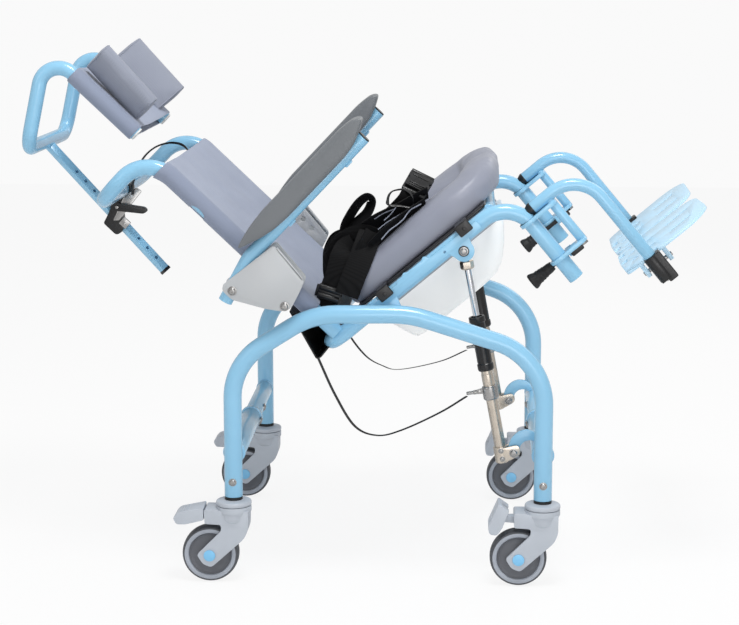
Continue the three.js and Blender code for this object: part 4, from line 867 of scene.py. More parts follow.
caster_parts = {"fork": (caster_fork(), "caster shell"), "pedal": (caster_pedal(), "caster shell")}
tread, rim, disc = caster_wheel()
upright = aim((0, 1, 0))
wheel_stuffs = (("tyre", tread, "tyre rubber"), ("rim", rim, "caster rim"), ("disc", disc, "wheel disc"))
for name, piece, finish in wheel_stuffs:
    caster_parts[name] = (put(piece, upright), finish)
caps = [soften(rod("cap", (0, y, 0), (0, y + 1.6, 0), 10.3, 32), 0.5) for y in (-26, 24.4)]
caster_parts["hub_caps"] = (joined("caps", *caps), "hub cap")
collar = turned(
    "collar",
    [(0, 78), (6, 78), (6, 87.8), (30.5, 87.8, 1), (31.5, 91, 1.5), (30.8, 95.6, 2.5), (17, 97.5, 2),
     (15.2, 97.6), (0, 97.6)],
    44,
)
caster_parts["stem"] = (put(collar, SWIVEL), "caster shell")
ring = turned("ring", [(0, 97), (15.7, 97), (15.7, 102.4, 0.6), (0, 102.6)], 36)
caster_parts["stem_ring"] = (put(ring, SWIVEL), "black rubber")
print("caster pieces:", sorted(caster_parts))

# %% [markdown]
# The casters stand at the four legs, each with its hub behind the swivel. Fork, wheel and pedal are pieces of
# their own because each of them moves. In the photograph the rear pedals are down and the front ones are up.

# %% Four casters
CASTER_BODY = {
    "fork": "fork", "hub_caps": "fork", "pedal": "pedal", "tyre": "wheel", "rim": "wheel", "disc": "wheel",
    "stem": None, "stem_ring": None,
}
CASTER_NODE = {
    "fork": "caster_fork", "pedal": "brake_pedal", "tyre": "caster_tyre", "rim": "caster_wheel",
    "stem": "caster_stem",
}
PEDAL_HINGE = Matrix.Translation((-36 * MM, 0, 69 * MM))
LEGS = {
    "rear_right": (-LEG_X, -LEG_Y), "rear_left": (-LEG_X, LEG_Y),
    "front_right": (LEG_X, -LEG_Y), "front_left": (LEG_X, LEG_Y),
}
for where, (x, y) in LEGS.items():
    hub = BASE @ Matrix.Translation(Vector((x - TRAIL, y, HUB_HEIGHT)) * MM)
    for part, (master, finish) in caster_parts.items():
        place = hub
        if part == "pedal":
            turn = Matrix.Rotation(math.radians(-55 if x > 0 else 0), 4, "Y")
            place = hub @ PEDAL_HINGE @ turn
        piece = copied(master, f"{part}_{where}", place)
        body = CASTER_BODY[part]
        nodes = [f"{CASTER_NODE[part]}_{where}"] if part in CASTER_NODE else []
        finish_piece(piece, finish, f"{body}_{where}" if body else "base", *nodes, smooth=30)
for master, _ in caster_parts.values():
    bpy.data.objects.remove(master)
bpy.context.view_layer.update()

# %% [markdown]
# Each strut is a gas spring: a chromed rod that slides into a bright tube, with a black dust cover over the
# upper end of the tube and a release head on it. Rod and head are turned shapes on one axis, so they are
# modelled along Z in the frame of the strut. Z counts down from the bolt at the top.

# %% Strut rod and its end
STRUT_Y = -212


def down(name, profile, sides=28):
    """A turned piece of the strut: (radius, distance below the top bolt) points."""
    piece = turned(name, [(p[0], -p[1], *p[2:]) for p in profile], sides)
    return put(piece, Matrix.Translation((0, STRUT_Y * MM, 0)))


rod_line = down("strut_rod_right", [(0, 30), (6, 30), (6, 250, 0.5), (0, 250)], 32)
put(rod_line, STRUT)
finish_pair(rod_line, "chrome", "strut_piston_right", "strut_rod_right")

eye = soften(rod("eye", (0, -220.8, 0), (0, -203.2, 0), 15.2, 40), 1.2)
neck_block = soften(plate("neck", [(-9, -10, 1), (9, -10, 1), (9, -26, 2), (-9, -26, 2)], -220, -204), 1.5)
eye = joined("eye", eye, neck_block)
cut_by(eye, rod("hole", (0, -230, 0), (0, -194, 0), 8.8, 32))
socket = down("socket", [(0, 22), (9, 22, 1), (12.3, 25, 1), (12.3, 37, 1), (9, 39.6, 1), (0, 39.8)], 6)
rod_end = put(joined("strut_rod_end_right", eye, socket), STRUT)
finish_pair(rod_end, "nickel", "strut_piston_right")
print("strut rods ready")

# %% [markdown]
# The tube has a clevis of two ears at its foot. The cover is ribbed for grip, and the release head has a
# shelf with a knob on which the cable ends in a ferrule.

# %% Strut tube, cover and release head
body = down("body", [(0, 129), (9.2, 129, 0.5), (10, 130, 0.5), (10, 388), (9.4, 391.8, 0.5), (0, 391.8)], 32)
band = down("band", [(10, 228), (10.6, 228.4, 0.3), (10.6, 247.6, 0.3), (10, 248)], 32)
hug = down("hug", [(9.8, 362), (12.9, 362, 0.4), (12.9, 389.7, 0.4), (9.8, 389.7), (9.8, 362)], 36)
ears = []
for side in (-1, 1):
    near, far = STRUT_Y + side * 9, STRUT_Y + side * 12.6
    outline = [(-3, -364, 2), (4, -364, 2), (33, -362, 9), (35, -380, 9), (14, -388, 3), (-3, -389, 2)]
    flank = plate("ear", outline, near, far)
    ears.append(soften(flank, 0.8))
tube_piece = put(joined("strut_tube_right", body, band, hug, *ears), STRUT)
finish_pair(tube_piece, "nickel", "strut_tube_right", "strut_lower_right")

cover_profile = [
    (10.7, 124), (14, 124, 0.6), (14.4, 127, 0.6), (14.4, 133.5, 0.6), (12.6, 135, 0.6), (12.5, 208, 0.6),
    (14.4, 210, 0.6), (14.4, 219, 0.8), (13, 222, 0.6), (10.7, 222), (10.7, 124),
]
cover = down("strut_cover_right", cover_profile, 36)
ribs = []
for k in range(10):
    turn = 2 * math.pi * k / 10
    x, y = 12.4 * math.cos(turn), STRUT_Y + 12.4 * math.sin(turn)
    ribs.append(rod("rib", (x, y, -136), (x, y, -207), 0.7, 8))
cover = put(joined("strut_cover_right", cover, *ribs), STRUT)
finish_pair(cover, "black plastic", "strut_tube_right", "strut_cover_right")

release_profile = [(10, 250), (12.6, 250, 1), (13.8, 253, 1), (13.8, 272, 1), (12, 275, 1), (10, 275)]
release = down("release", release_profile, 36)
shelf_outline = [(-24, -254.6, 2), (-8, -252.6, 1), (-8, -263, 1), (-24, -261.4, 2)]
shelf = soften(plate("shelf", shelf_outline, -216, -208), 1)
knob = soften(rod("knob", (-19, -217, -258), (-19, -207, -258), 3.6), 0.8)
release = put(joined("strut_release_right", release, shelf, knob), STRUT)
finish_pair(release, "zinc", "strut_tube_right")
ferrule_profile = [(0, 0), (3.9, 0), (3.9, 9, 0.5), (3.2, 10, 0.5), (3.2, 20, 0.5), (2.5, 22, 1), (0, 22)]
ferrule = turned("ferrule", ferrule_profile, 20)
put(ferrule, STRUT @ aim((-1, 0, 0.02), (-20, STRUT_Y, -258)))
ferrule.name = "cable_end_right"
finish_pair(ferrule, "zinc", "strut_tube_right")
strut_bolts = [(0, -225, -368, OUT), (0, -225, -383, OUT)]
set_bolts("strut_bolts_right", "strut_tube_right", "zinc", strut_bolts, STRUT, 0.7)
print("strut tubes ready")

# %% [markdown]
# The seat frame is one tube bent in two planes: rails along the seat, the rear bend, and posts that turn
# down at the front to carry the leg supports. A plate with a stepped upper edge is welded to each rail. Its
# two lugs hang below the rail and carry the tilt pivot and the strut.

# %% Seat frame
RAIL_Y = -240
POST_U = 281
seat_corners = [
    (POST_U, RAIL_Y, -161), (POST_U, RAIL_Y, 20.3), (-125, RAIL_Y, 20.3),
    (-125, -RAIL_Y, 20.3), (POST_U, -RAIL_Y, 20.3), (POST_U, -RAIL_Y, -161),
]
seat_tube = soften(bent_tube("seat_tube", seat_corners, [60, 45, 45, 60], 14, 32, 6), 0.8)
cross = rod("cross", (234, -238, 20.3), (234, 238, 20.3), 13.6, 28)
welds = [
    put(turned("weld", [(13, -2), (17, -1, 1), (16, 3, 2), (13.4, 5)], 28), aim(way, (234, y, 20.3)))
    for y, way in ((-226, IN), (226, OUT))
]
put(joined("seat_tube", seat_tube, cross, *welds), SEAT)
finish_piece(seat_tube, "blue coat", "seat", "seat_frame")

PLATE = [
    (-30, 13, 2), (212, 13, 2), (212, 29, 4), (140, 29.5), (108, 30, 1), (106, 35, 2), (101, 39, 4),
    (95, 35, 2), (63, 35, 2), (57, 39, 4), (51, 35, 2), (38, 35, 1), (37, 30, 1), (-7, 30, 1),
    (-8, 36, 1), (-24, 36, 1), (-26, 28, 2), (-30, 26, 2),
]
side_plate = soften(plate("plate", PLATE, -258, -252.6, 3), 0.7)
cut_by(side_plate, rod("hole", (136, -262, 21), (136, -248, 21), 2.4, 20))


def lug(outline, u, w, radius):
    """A round lug that hangs on a neck below the rail."""
    neck = soften(plate("neck", outline, -257.8, -252.8), 0.7)
    disc = soften(rod("disc", (u, -257.9, w), (u, -252.7, w), radius, 44), 0.7)
    return joined("lug", neck, disc)


pivot_lug = lug([(-24, 20), (-17.4, -4), (17.4, -4), (24, 20)], 0, 0, 18)
strut_lug = lug([(136, 20), (144.6, -2), (179.4, -2), (186, 20)], 162, 1, 18.5)
inner_outline = [(148, 8, 2), (150, -8, 6), (162, -15, 9), (174, -8, 6), (176, 8, 2), (174, 28), (150, 28)]
inner_lug = soften(plate("lug", inner_outline, -200, -195.2), 0.6)
bridge = soften(plate("bridge", [(150, 23), (174, 23), (174, 28), (150, 28)], RAIL_Y, -195.2), 0.6)
boss = soften(rod("boss", (162, -253.5, 1), (162, -222.4, 1), 12.9, 36), 0.8)
pin = rod("pin", (162, -262, 1), (162, -192, 1), 4.9, 24)
lugs = put(joined("seat_plate_right", side_plate, pivot_lug, strut_lug, inner_lug, bridge, boss), SEAT)
finish_pair(lugs, "blue coat", "seat")
finish_pair(put(joined("strut_pin_right", pin), SEAT), "zinc", "seat")
ring = turned("ring", [(5, -0.2), (9.4, -0.2), (9.4, 1.8, 0.5), (5, 2)], 32)
strut_ring = copied(ring, "ring", SEAT @ aim(OUT, (162, -257.9, 1)))
ring = joined("lug_ring_right", strut_ring, put(ring, SEAT @ aim(OUT, (0, -257.9, 0))))
finish_pair(ring, "black plastic", "seat")
set_bolts("lug_bolts_right", "seat", "zinc", [(162, -260.6, 1, OUT), (162, -193.6, 1, IN)], SEAT, 1.1)
print("seat frame ready")

# %% [markdown]
# The cushion lies on a flat board that four black clips hold on the rails. Each clip is an angle of plastic
# with a round nub: a face beside the rail, a tab over the board, and the nub, each with softened edges.

# %% Board and clips
OPENING_U = 130
OPENING_LENGTH, OPENING_WIDTH = 96, 58


def flat_plate(name, outline, from_w, to_w, steps=4):
    """A plate with its outline in the X-Y plane, drawn out upwards."""
    lay = Matrix(((1, 0, 0, 0), (0, 0, 1, 0), (0, 1, 0, 0), (0, 0, 0, 1)))
    return turned_out(put(plate(name, outline, from_w, to_w, steps), lay))


board_outline = [(-46, -232, 12), (240, -232, 12), (240, 232, 12), (-46, 232, 12)]
board = flat_plate("board", board_outline, 34.8, 39.8)
hole = turned("hole", [(0, -60), (1, -60), (1, 60), (0, 60)], 56)
oval = Matrix.Diagonal((OPENING_LENGTH, OPENING_WIDTH, 1, 1))
put(hole, Matrix.Translation((OPENING_U * MM, 0, 0)) @ oval)
cut_by(board, hole)
put(soften(board, 1.2, 2), SEAT)
finish_piece(board, "black plastic", "seat", "cushion_board")
clips = []
for start, end in ((-4, 23), (174, 201)):
    outline = [(start, 22, 3), (end, 22, 3), (end, 43, 5), (start, 43, 5)]
    face = soften(plate("clip", outline, -266, -258.4), 1.6, 3)
    outline = [(start + 1, 39.6), (end - 1, 39.6), (end - 1, 43, 2), (start + 1, 43, 2)]
    top = soften(plate("top", outline, -264, -222), 0.8)
    middle = (start + end) / 2
    nub = soften(rod("nub", (middle, -267, 31), (middle, -258, 31), 4.2), 0.8)
    clips.extend([face, top, nub])
clip_piece = put(joined("board_clips_right", *clips), SEAT)
finish_pair(clip_piece, "black plastic", "seat")
print("board and clips ready")

# %% [markdown]
# The pan is a white bowl with a round front. From the rim to the floor it is ten outlines with the same
# count of points, so faces join each to the next; the lowest ones draw in, as in a deep-drawn bowl, and
# Solidify gives it a thickness. The pan slides in a carrier of two channels and two ties.

# %% Pan and its carrier
def bowl_ring(rear, front, half, rear_r, front_r, height):
    outline = [(rear, -half, rear_r), (front, -half, front_r), (front, half, front_r), (rear, half, rear_r)]
    return [(p[0], p[1], height) for p in rounded(outline, 8)]


levels = [
    (-61, 249, 129, 54, 92, -4.8), (-53, 241, 121, 51, 86, -4.8), (-51.5, 239.5, 119.6, 50, 85, -7),
    (-49, 238, 119, 50, 74, -14), (-43, 228, 116, 48, 68, -34), (-36, 212, 112, 46, 60, -54),
    (-29, 194, 108, 44, 52, -72), (-26, 184, 105, 42, 48, -80), (-21, 172, 101, 38, 44, -86),
    (-12, 160, 94, 34, 40, -88.4),
]
pan = skin_rings("commode_pan", [bowl_ring(*level) for level in levels], (False, True))
apply(pan, "SOLIDIFY", thickness=2.2 * MM, offset=-1)
put(pan, SEAT)
finish_piece(pan, "pan plastic", "pan", "commode_pan", smooth=50)

runner = soften(plate("runner", [(-132, 3), (236, 3), (236, 6), (-132, 6)], -132.3, -113), 0.6)
shelf = soften(plate("shelf", [(-61, -8.3), (236, -8.3), (236, -5.3), (-61, -5.3)], -132.3, -122), 0.6)
wall = soften(plate("wall", [(-61, -8.2), (236, -8.2), (236, 5.9), (-61, 5.9)], -132.2, -129.4), 0.6)
runner = joined("runner", runner, shelf, wall)
twin = copied(runner, "twin", MIRROR)
ties = [
    soften(plate("tie", [(start, 3.1), (end, 3.1), (end, 5.9), (start, 5.9)], -130, 130), 0.6)
    for start, end in ((-132, -62), (224, 236))
]
carrier = put(joined("pan_carrier", runner, twin, *ties), SEAT)
finish_piece(carrier, "caster shell", "seat", "pan_carrier")
print("pan and carrier ready")

# %% [markdown]
# Foam pads are first drawn tight, then blown up a little: the mesh is remeshed to an even net, Cloth with
# pressure swells it for twenty frames, no point may go further than a few millimetres, and the result is
# kept as plain mesh with one subdivision. So the sides bulge and the corners pull in, as on a real pad.

# %% Pad helper
def swollen(piece, pressure, cap, voxel=6.0):
    """Swells a closed pad with cloth pressure; a point moves at most cap millimetres."""
    pick(piece)
    piece.data.remesh_voxel_size = voxel * MM
    bpy.ops.object.voxel_remesh()
    start = [vertex.co.copy() for vertex in piece.data.vertices]
    bpy.ops.object.modifier_add(type="CLOTH")
    cloth = piece.modifiers[-1]
    cloth.settings.quality = 4
    cloth.settings.mass = 0.25
    cloth.settings.tension_stiffness = 12
    cloth.settings.compression_stiffness = 12
    cloth.settings.use_pressure = True
    cloth.settings.uniform_pressure_force = pressure
    cloth.settings.effector_weights.gravity = 0
    for moment in range(1, 21):
        bpy.context.scene.frame_set(moment)
    bpy.ops.object.modifier_apply(modifier=cloth.name)
    bpy.context.scene.frame_set(1)
    for vertex, before in zip(piece.data.vertices, start):
        step = vertex.co - before
        if step.length > cap * MM:
            vertex.co = before + step.normalized() * cap * MM
    apply(piece, "SMOOTH", factor=0.5, iterations=4)
    apply(piece, "SUBSURF", levels=1)
    return piece


print("pad helper ready")

# %% [markdown]
# The seat cushion is a thick ring of foam round the commode opening. Its section is flat below, crowned
# above and rounded at the rim; rings of points go round the opening and are joined to a skin.

# %% Seat cushion
TINY, HUGE = 1e-6, 1e9


def ray_to_rim(angle):
    """Where a ray from the middle of the opening meets the rounded outline of the cushion."""
    along, side = math.cos(angle), math.sin(angle)
    front, rear, half = 166, -187, 216
    front_corner, rear_corner = 120, 45
    end = front if along > 0 else rear
    reach = min(end / along if abs(along) > TINY else HUGE, half / max(abs(side), TINY))
    corner = front_corner if along > 0 else rear_corner
    cu = front - corner if along > 0 else rear + corner
    cy = math.copysign(half - corner, side)
    if abs(reach * along) > abs(cu) and abs(reach * side) > abs(cy):
        middle = along * cu + side * cy
        reach = middle + math.sqrt(max(middle ** 2 - cu ** 2 - cy ** 2 + corner ** 2, 0))
    return OPENING_U + reach * along, reach * side


SECTION = [
    (0.05, 0), (0.0, 0.12), (-0.01, 0.38), (0.03, 0.62), (0.13, 0.82), (0.28, 0.93), (0.5, 0.985),
    (0.72, 0.975), (0.86, 0.92), (0.955, 0.77), (0.99, 0.5), (1.0, 0.22), (0.995, 0.05), (0.975, 0),
    (0.5, 0), (0.05, 0),
]
AROUND = 72
CUSHION_BASE, CUSHION_HEIGHT = 39.6, 57
PINCH_DEPTH, CRUMPLE_DEPTH = 15, 1.1
cushion_rings = []
for across, height in SECTION:
    ring = []
    for k in range(AROUND):
        angle = 2 * math.pi * (k + 0.5) / AROUND
        inner = (OPENING_U + OPENING_LENGTH * math.cos(angle), OPENING_WIDTH * math.sin(angle))
        outer = ray_to_rim(angle)
        at = [i + (o - i) * across for i, o in zip(inner, outer)]
        lean = 34 * across ** 4 * (height - 0.6) * max(0, math.cos(angle)) ** 1.5
        ring.append((at[0] + lean, at[1], CUSHION_BASE + CUSHION_HEIGHT * height))
    cushion_rings.append(ring)
cushion = skin_rings("foam_ring", cushion_rings)
swollen(cushion, 2.5, 4, 6.5)
for vertex in cushion.data.vertices:
    u, y, w = (c / MM for c in vertex.co)
    reach = 12 if u > 218 else 46
    high = max(0, min(1, (w - 62) / 26))
    pinch = math.exp(-((u - 218) / reach) ** 2 - ((abs(y) - 66) / 58) ** 2) * high
    crumple = math.exp(-((u - 270) / 34) ** 2 - ((abs(y) - 186) / 34) ** 2 - ((w - 56) / 14) ** 2)
    vertex.co.z -= PINCH_DEPTH * pinch * MM
    vertex.co.x += CRUMPLE_DEPTH * crumple * math.sin(u * 0.5 + abs(y) * 0.42) * MM
put(cushion, SEAT)
finish_piece(cushion, "cushion skin", "seat", "seat_cushion", smooth=80)
print("cushion faces:", len(cushion.data.polygons))

# %% [markdown]
# The back frame is a pair of canes joined by the push bar at the top: up, a wide bend to the rear, across,
# and back down. It is one tube, so it is bent in one go.

# %% Back frame
cane_corners = [
    (0, RAIL_Y, 8), (0, RAIL_Y, 464), (-122, RAIL_Y, 464),
    (-122, -RAIL_Y, 464), (0, -RAIL_Y, 464), (0, -RAIL_Y, 8),
]
cane = soften(bent_tube("back_frame", cane_corners, [60, 60, 60, 60], 14, 32, 6), 0.8)
put(cane, BACK)
finish_piece(cane, "blue coat", "seat", "back_frame")
print("back frame ready")

# %% [markdown]
# Backrest and headrest are sleeves of thick cloth over the canes. A ring of points goes round both tubes
# and is repeated up the back; the front sags between the canes. Solidify gives the cloth its thickness, and
# a few slow waves in the points make quiet wrinkles, so that it doesn't look machined.

# %% Cloth sleeves
def fold(y, z, seed):
    """A quiet wrinkle, a sum of a few waves, between -1 and 1."""
    first = math.sin(y * 0.031 + z * 0.052 + seed) * math.sin(z * 0.037 - y * 0.012 + 2 * seed)
    second = math.sin(y * 0.083 - z * 0.061 + 3 * seed) * math.sin(z * 0.021 + seed)
    return first * 0.65 + second * 0.35


def cloth_ring(half, radius, z, back_by, sag, seed, fold_depth, across=28, around=12):
    ring = []
    for k in range(across + 1):
        y = -half + 2 * half * k / across
        free = 1 - (y / half) ** 2
        ring.append((radius - back_by - sag * free + fold_depth * fold(y, z, seed) * free, y, z))
    for k in range(1, around):
        turn = math.pi * k / around
        ring.append((radius * math.cos(turn) - back_by, half + radius * math.sin(turn), z))
    for k in range(across + 1):
        y = half - 2 * half * k / across
        free = 1 - (y / half) ** 2
        ring.append((-radius - back_by + fold_depth * 0.6 * fold(y, z, seed + 2) * free, y, z))
    for k in range(1, around):
        turn = math.pi + math.pi * k / around
        ring.append((radius * math.cos(turn) - back_by, -half + radius * math.sin(turn), z))
    return ring


def cloth_sleeve(name, half, radius, heights, sag, seed, depth, set_back=lambda z: (0, 0)):
    rings = []
    for k, z in enumerate(heights):
        back_by, slack = set_back(z)
        lip = 0.9 if 0 < k < len(heights) - 1 else 0
        rings.append(cloth_ring(half, radius + slack + lip, z, back_by, sag, seed, depth))
    sleeve = skin_rings(name, rings)
    apply(sleeve, "SOLIDIFY", thickness=1.7 * MM, offset=-1)
    return sleeve


back_heights = [66, 68, 78, *range(88, 400, 12), 402, 409, 415, 421, 425.5, 427]
back_cloth = cloth_sleeve(
    "back_cloth", -RAIL_Y, 16.2, back_heights, 9, 0.4, 2.6,
    lambda z: (0, 0) if z < 402 else ((z - 402) ** 2 / 136, (z - 402) / 14),
)
notch_outline = [(-60, 314, 3), (-9, 314, 6), (-4, 330, 9), (-10, 347, 6), (-60, 347, 3)]
notch_block = plate("notch", notch_outline, -262, -236)
cut_by(back_cloth, notch_block)
put(back_cloth, BACK)
finish_piece(back_cloth, "blue grey cloth", "seat", "back_sling", smooth=60)

HEAD_HALF = 168
head_heights = [506, 508, 516, *range(526, 640, 12), 646, 653, 655]
head_cloth = cloth_sleeve("head_cloth", HEAD_HALF, 15.2, head_heights, 6, 1.7, 1.8)
put(head_cloth, BACK)
finish_piece(head_cloth, "head cloth", "head", "head_sling", smooth=60)
print("sleeves ready")

# %% [markdown]
# A black flap of coated cloth closes the gap behind the seat. Its section is one closed outline that is
# drawn out across the chair and made hollow by Solidify, so it stays open at both sides.

# %% Rear flap
FLAP = [(-20, 64, 6), (-34, 96, 4), (-64, 1, 4), (-56, -3, 3), (2, 2, 4), (2, 30, 6)]
FLAP_HALF, FLAP_STRIPS = 221, 13
flap_points = [(p[0], -FLAP_HALF, p[1]) for p in rounded(FLAP, 4)]
flap = draw_line("rear_flap", flap_points + flap_points[:1])
bpy.ops.mesh.remove_doubles(threshold=SAME_PLACE)
for k in range(FLAP_STRIPS):
    step = (0, 2 * FLAP_HALF / FLAP_STRIPS * MM, 0)
    bpy.ops.mesh.extrude_edges_move(TRANSFORM_OT_translate={"value": step})
tidy_faces()
for vertex in flap.data.vertices:
    x, y, z = (c / MM for c in vertex.co)
    vertex.co.x += 1.6 * fold(y, z, 0.9) * MM * (1 - (y / FLAP_HALF) ** 2)
apply(flap, "SOLIDIFY", thickness=2.4 * MM, offset=-1)
put(flap, BACK)
finish_piece(flap, "black rubber", "seat", "rear_flap", smooth=50)
print("flap ready")

# %% [markdown]
# Each armrest sits in two grey sheets beside the cane, with the arm tube between them. Both have the same
# outline; the inner one is bored twice, the outer one has a folded front edge, and two rods join them.

# %% Armrest sheets
BRACKET = [
    (-71, 184, 5), (-71, 207, 6), (-62, 213, 3), (48, 197, 6), (39, 117, 5), (25, 111, 6), (-12, 100, 14),
    (-26, 108, 8), (-42, 131, 6),
]
outer_sheet = soften(plate("outer", BRACKET, -312, -309.2, 5), 0.6)
inner_sheet = plate("inner", BRACKET, -261, -258.2, 5)
cut_by(inner_sheet, *[rod("hole", (x, -270, z), (x, -250, z), 5, 24) for x, z in ((28, 150), (30, 175))])
soften(inner_sheet, 0.6)
fold_edge = soften(plate("fold", [(48.4, 190, 2), (40, 120, 2), (37, 120), (45.6, 190)], -312, -299, 3), 0.6)
tubes = [
    soften(rod("spacer", (-16.3, -310, 110.9), (-16.3, -260, 110.9), 8, 24), 0.5),
    soften(rod("axle", (-59.3, -310, 195), (-59.3, -260, 195), 4.9, 24), 0.5),
]
sheets = put(joined("armrest_sheets_right", outer_sheet, inner_sheet, fold_edge, *tubes), BACK)
finish_pair(sheets, "sheet grey coat", "seat", "armrest_bracket_right")
set_bolts(
    "armrest_bolts_right", "seat", "zinc",
    [(-59.3, -312.7, 194, OUT), (-16.3, -312.7, 110.9, OUT), (-59.3, -257.6, 195, IN)], BACK, 1.15,
)
print("armrest sheets ready")

# %% [markdown]
# The arm is a tube that rests in the sheets and flips up about their axle. Its pad is a long block of foam
# with a bevel that is swollen a little; the tube is cut out of its underside, so the pad sits on it.

# %% Arm tubes and arm pads
ARM_Y, ARM_HEIGHT = -296, 212.5
arm_corners = [(-84, ARM_Y, 190), (0, ARM_Y, ARM_HEIGHT), (286, ARM_Y, ARM_HEIGHT)]
arm_tube = soften(bent_tube("arm_tube_right", arm_corners, [70], 12.4, 32, 4), 0.8)
tabs = []
for x in (96, 236):
    outline = [(x - 8, 201, 2), (x + 8, 201, 2), (x + 7, 197, 2), (x - 7, 197, 2)]
    tabs.append(soften(plate("tab", outline, -301, -291), 0.8))
arm_tube = put(joined("arm_tube_right", arm_tube, *tabs), BACK)
finish_pair(arm_tube, "blue coat", "arm_right", "arm_tube_right")
PAD = [
    (66, 213, 30), (266, 213, 24), (311, 236, 10), (299, 247, 18), (276, 250.5, 30), (48, 250.5, 30),
    (-3, 237.5, 13),
]
pad = soften(plate("arm_cushion_right", PAD, -324.5, -265.5, 6), 9.5, 5, 40)
swollen(pad, 1.2, 1.2, 4.0)
groove = bent_tube("groove", arm_corners[:2] + [(400, ARM_Y, ARM_HEIGHT)], [70], 12.9, 32, 4)
cut_by(pad, groove)
put(pad, BACK)
for twin in finish_pair(pad, "pad skin", "arm_right", "arm_pad_right", smooth=50):
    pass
plug = rod("arm_plug_right", (285.6, ARM_Y, ARM_HEIGHT), (288.4, ARM_Y, ARM_HEIGHT), 12, 32)
soften(plug, 1)
finish_pair(put(plug, BACK), "black plastic", "arm_right")
print("arm tubes and pads ready")

# %% [markdown]
# The headrest is a small copy of the back: one tube bent four times, with white plugs in its lower ends, and
# a square stem that stands on edge, with two groups of three holes and a black cap.

# %% Head frame and stem
head_corners = [
    (0, -HEAD_HALF, 504), (0, -HEAD_HALF, 720), (-155, -HEAD_HALF, 626),
    (-155, HEAD_HALF, 626), (0, HEAD_HALF, 720), (0, HEAD_HALF, 504),
]
head_tube = soften(bent_tube("head_tube", head_corners, [36, 35, 35, 36], 13, 32, 7), 0.8)
lean = math.atan2(24, 325)
on_edge = Matrix.Rotation(math.radians(45), 4, "Z")
stem_place = Matrix.Translation((-181 * MM, 0, 302 * MM)) @ Matrix.Rotation(lean, 4, "Y") @ on_edge
stem_bar = plate("stem", [(-7.5, 1), (7.5, 1), (7.5, 325), (-7.5, 325)], -7.5, 7.5)
stem = soften(put(stem_bar, stem_place), 1.2, 2)
for rise in (30, 54, 78, 198, 222, 246):
    cut_by(stem, put(rod("hole", (0, -12, rise), (0, 3, rise), 3.3, 20), stem_place))
put(joined("head_frame", head_tube, stem), BACK)
finish_piece(head_tube, "blue coat", "head", "head_frame")
stem_cap = soften(plate("stem_cap", [(-8, -2, 1), (8, -2, 1), (8, 4, 1), (-8, 4, 1)], -8, 8), 1.2)
put(stem_cap, BACK @ stem_place)
finish_piece(stem_cap, "black plastic", "head")
plug = soften(rod("head_plug_right", (0, -HEAD_HALF, 501), (0, -HEAD_HALF, 504.6), 12.4, 32), 1)
finish_pair(put(plug, BACK), "white plug", "head")
print("head frame ready")

# %% [markdown]
# Each wing is a short pillar with a bent outline, swollen like the other pads, with piping along its upper
# and lower edge. The pair nods forward by a few degrees, as the near one does in the photograph.

# %% Head wings
WING = [(15, 112, 5), (66, 144, 8), (79, 168, 7), (60, 178, 8), (16, 144, 5)]
rise = Matrix(((1, 0, 0, 0), (0, 0, -1, 0), (0, 1, 0, 0), (0, 0, 0, 1)))
wing = put(plate("wing_pad_right", WING, 519, 648, 6), rise)
soften(wing, 5, 4, 40)
swollen(wing, 3, 3, 4.0)
piping = []
for height in (522, 645):
    edge = [Vector((p[0], -p[1], height)) for p in rounded(WING, 3)]
    middle = sum(edge, Vector()) / len(edge)
    edge = [middle + (p - middle) * 0.965 for p in edge]
    piping.append(cable("piping", [tuple(p) for p in edge[3:] + edge[:4]], Matrix.Identity(4), 1.3, 8)[0])
middle = Matrix.Translation((44 * MM, 0, 584 * MM))
nod = middle @ Matrix.Rotation(math.radians(4.5), 4, "Y") @ middle.inverted()
wing = put(joined("wing_pad_right", wing, *piping), BACK @ nod)
for twin in finish_pair(wing, "wing cloth", "head", "head_wing_right", smooth=60):
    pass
tag_outline = [(24, 519, 1), (36, 519, 1), (36, 528, 1), (24, 528, 1)]
tag = soften(plate("wing_tag", tag_outline, 137, 138), 0.3)
tags = joined("wing_tags", tag, copied(tag, "tag", MIRROR))
finish_piece(put(tags, BACK), "white plug", "head")
print("head wings ready")

# %% [markdown]
# The stem runs through a black clamp that grips the push bar. The clamp is an outline drawn out and rounded,
# with a ring round the bar, a zinc plated lock and a square nut. A lever with a rounded end pulls the cable.

# %% Stem clamp and tilt lever
CLAMP = [
    (-193, 446, 4), (-193, 413, 6), (-178, 409, 6), (-152, 437, 6), (-128, 445, 6), (-124, 483, 6),
    (-150, 478, 8), (-160, 456, 6), (-178, 450, 6),
]
clamp = plate("clamp", CLAMP, -16, 16, 4)
ring = rod("ring", (-122, -16, 464), (-122, 16, 464), 19, 40)
bar_hole = rod("hole", (-122, -30, 464), (-122, 30, 464), 14.2, 40)
stem_hole = put(
    plate("hole", [(-7.9, 60), (7.9, 60), (7.9, 240), (-7.9, 240)], -7.9, 7.9), stem_place
)
cut_by(ring, copied(bar_hole, "hole"))
cut_by(clamp, bar_hole, stem_hole)
soften(clamp, 1.4, 3)
clamp = joined("stem_clamp", clamp, soften(ring, 0.8))
boss = soften(rod("boss", (-150, -15, 447), (-150, -18.6, 447), 8, 28), 0.6)
clamp = put(joined("stem_clamp", clamp, boss), BACK)
finish_piece(clamp, "black plastic", "seat", "head_clamp")
nut = soften(plate("nut", [(-172, 409, 1), (-156, 409, 1), (-156, 425, 1), (-172, 425, 1)], -21, -15.8), 0.8)
lock_outline = [(-176, 436, 2), (-168, 428, 2), (-98, 434, 4), (-100, 446, 4), (-128, 452, 3)]
lock = soften(plate("lock", lock_outline, -19, -16.4), 0.9)
stud = soften(rod("stud", (-166, -22, 417), (-166, -15, 417), 3, 20), 0.5)
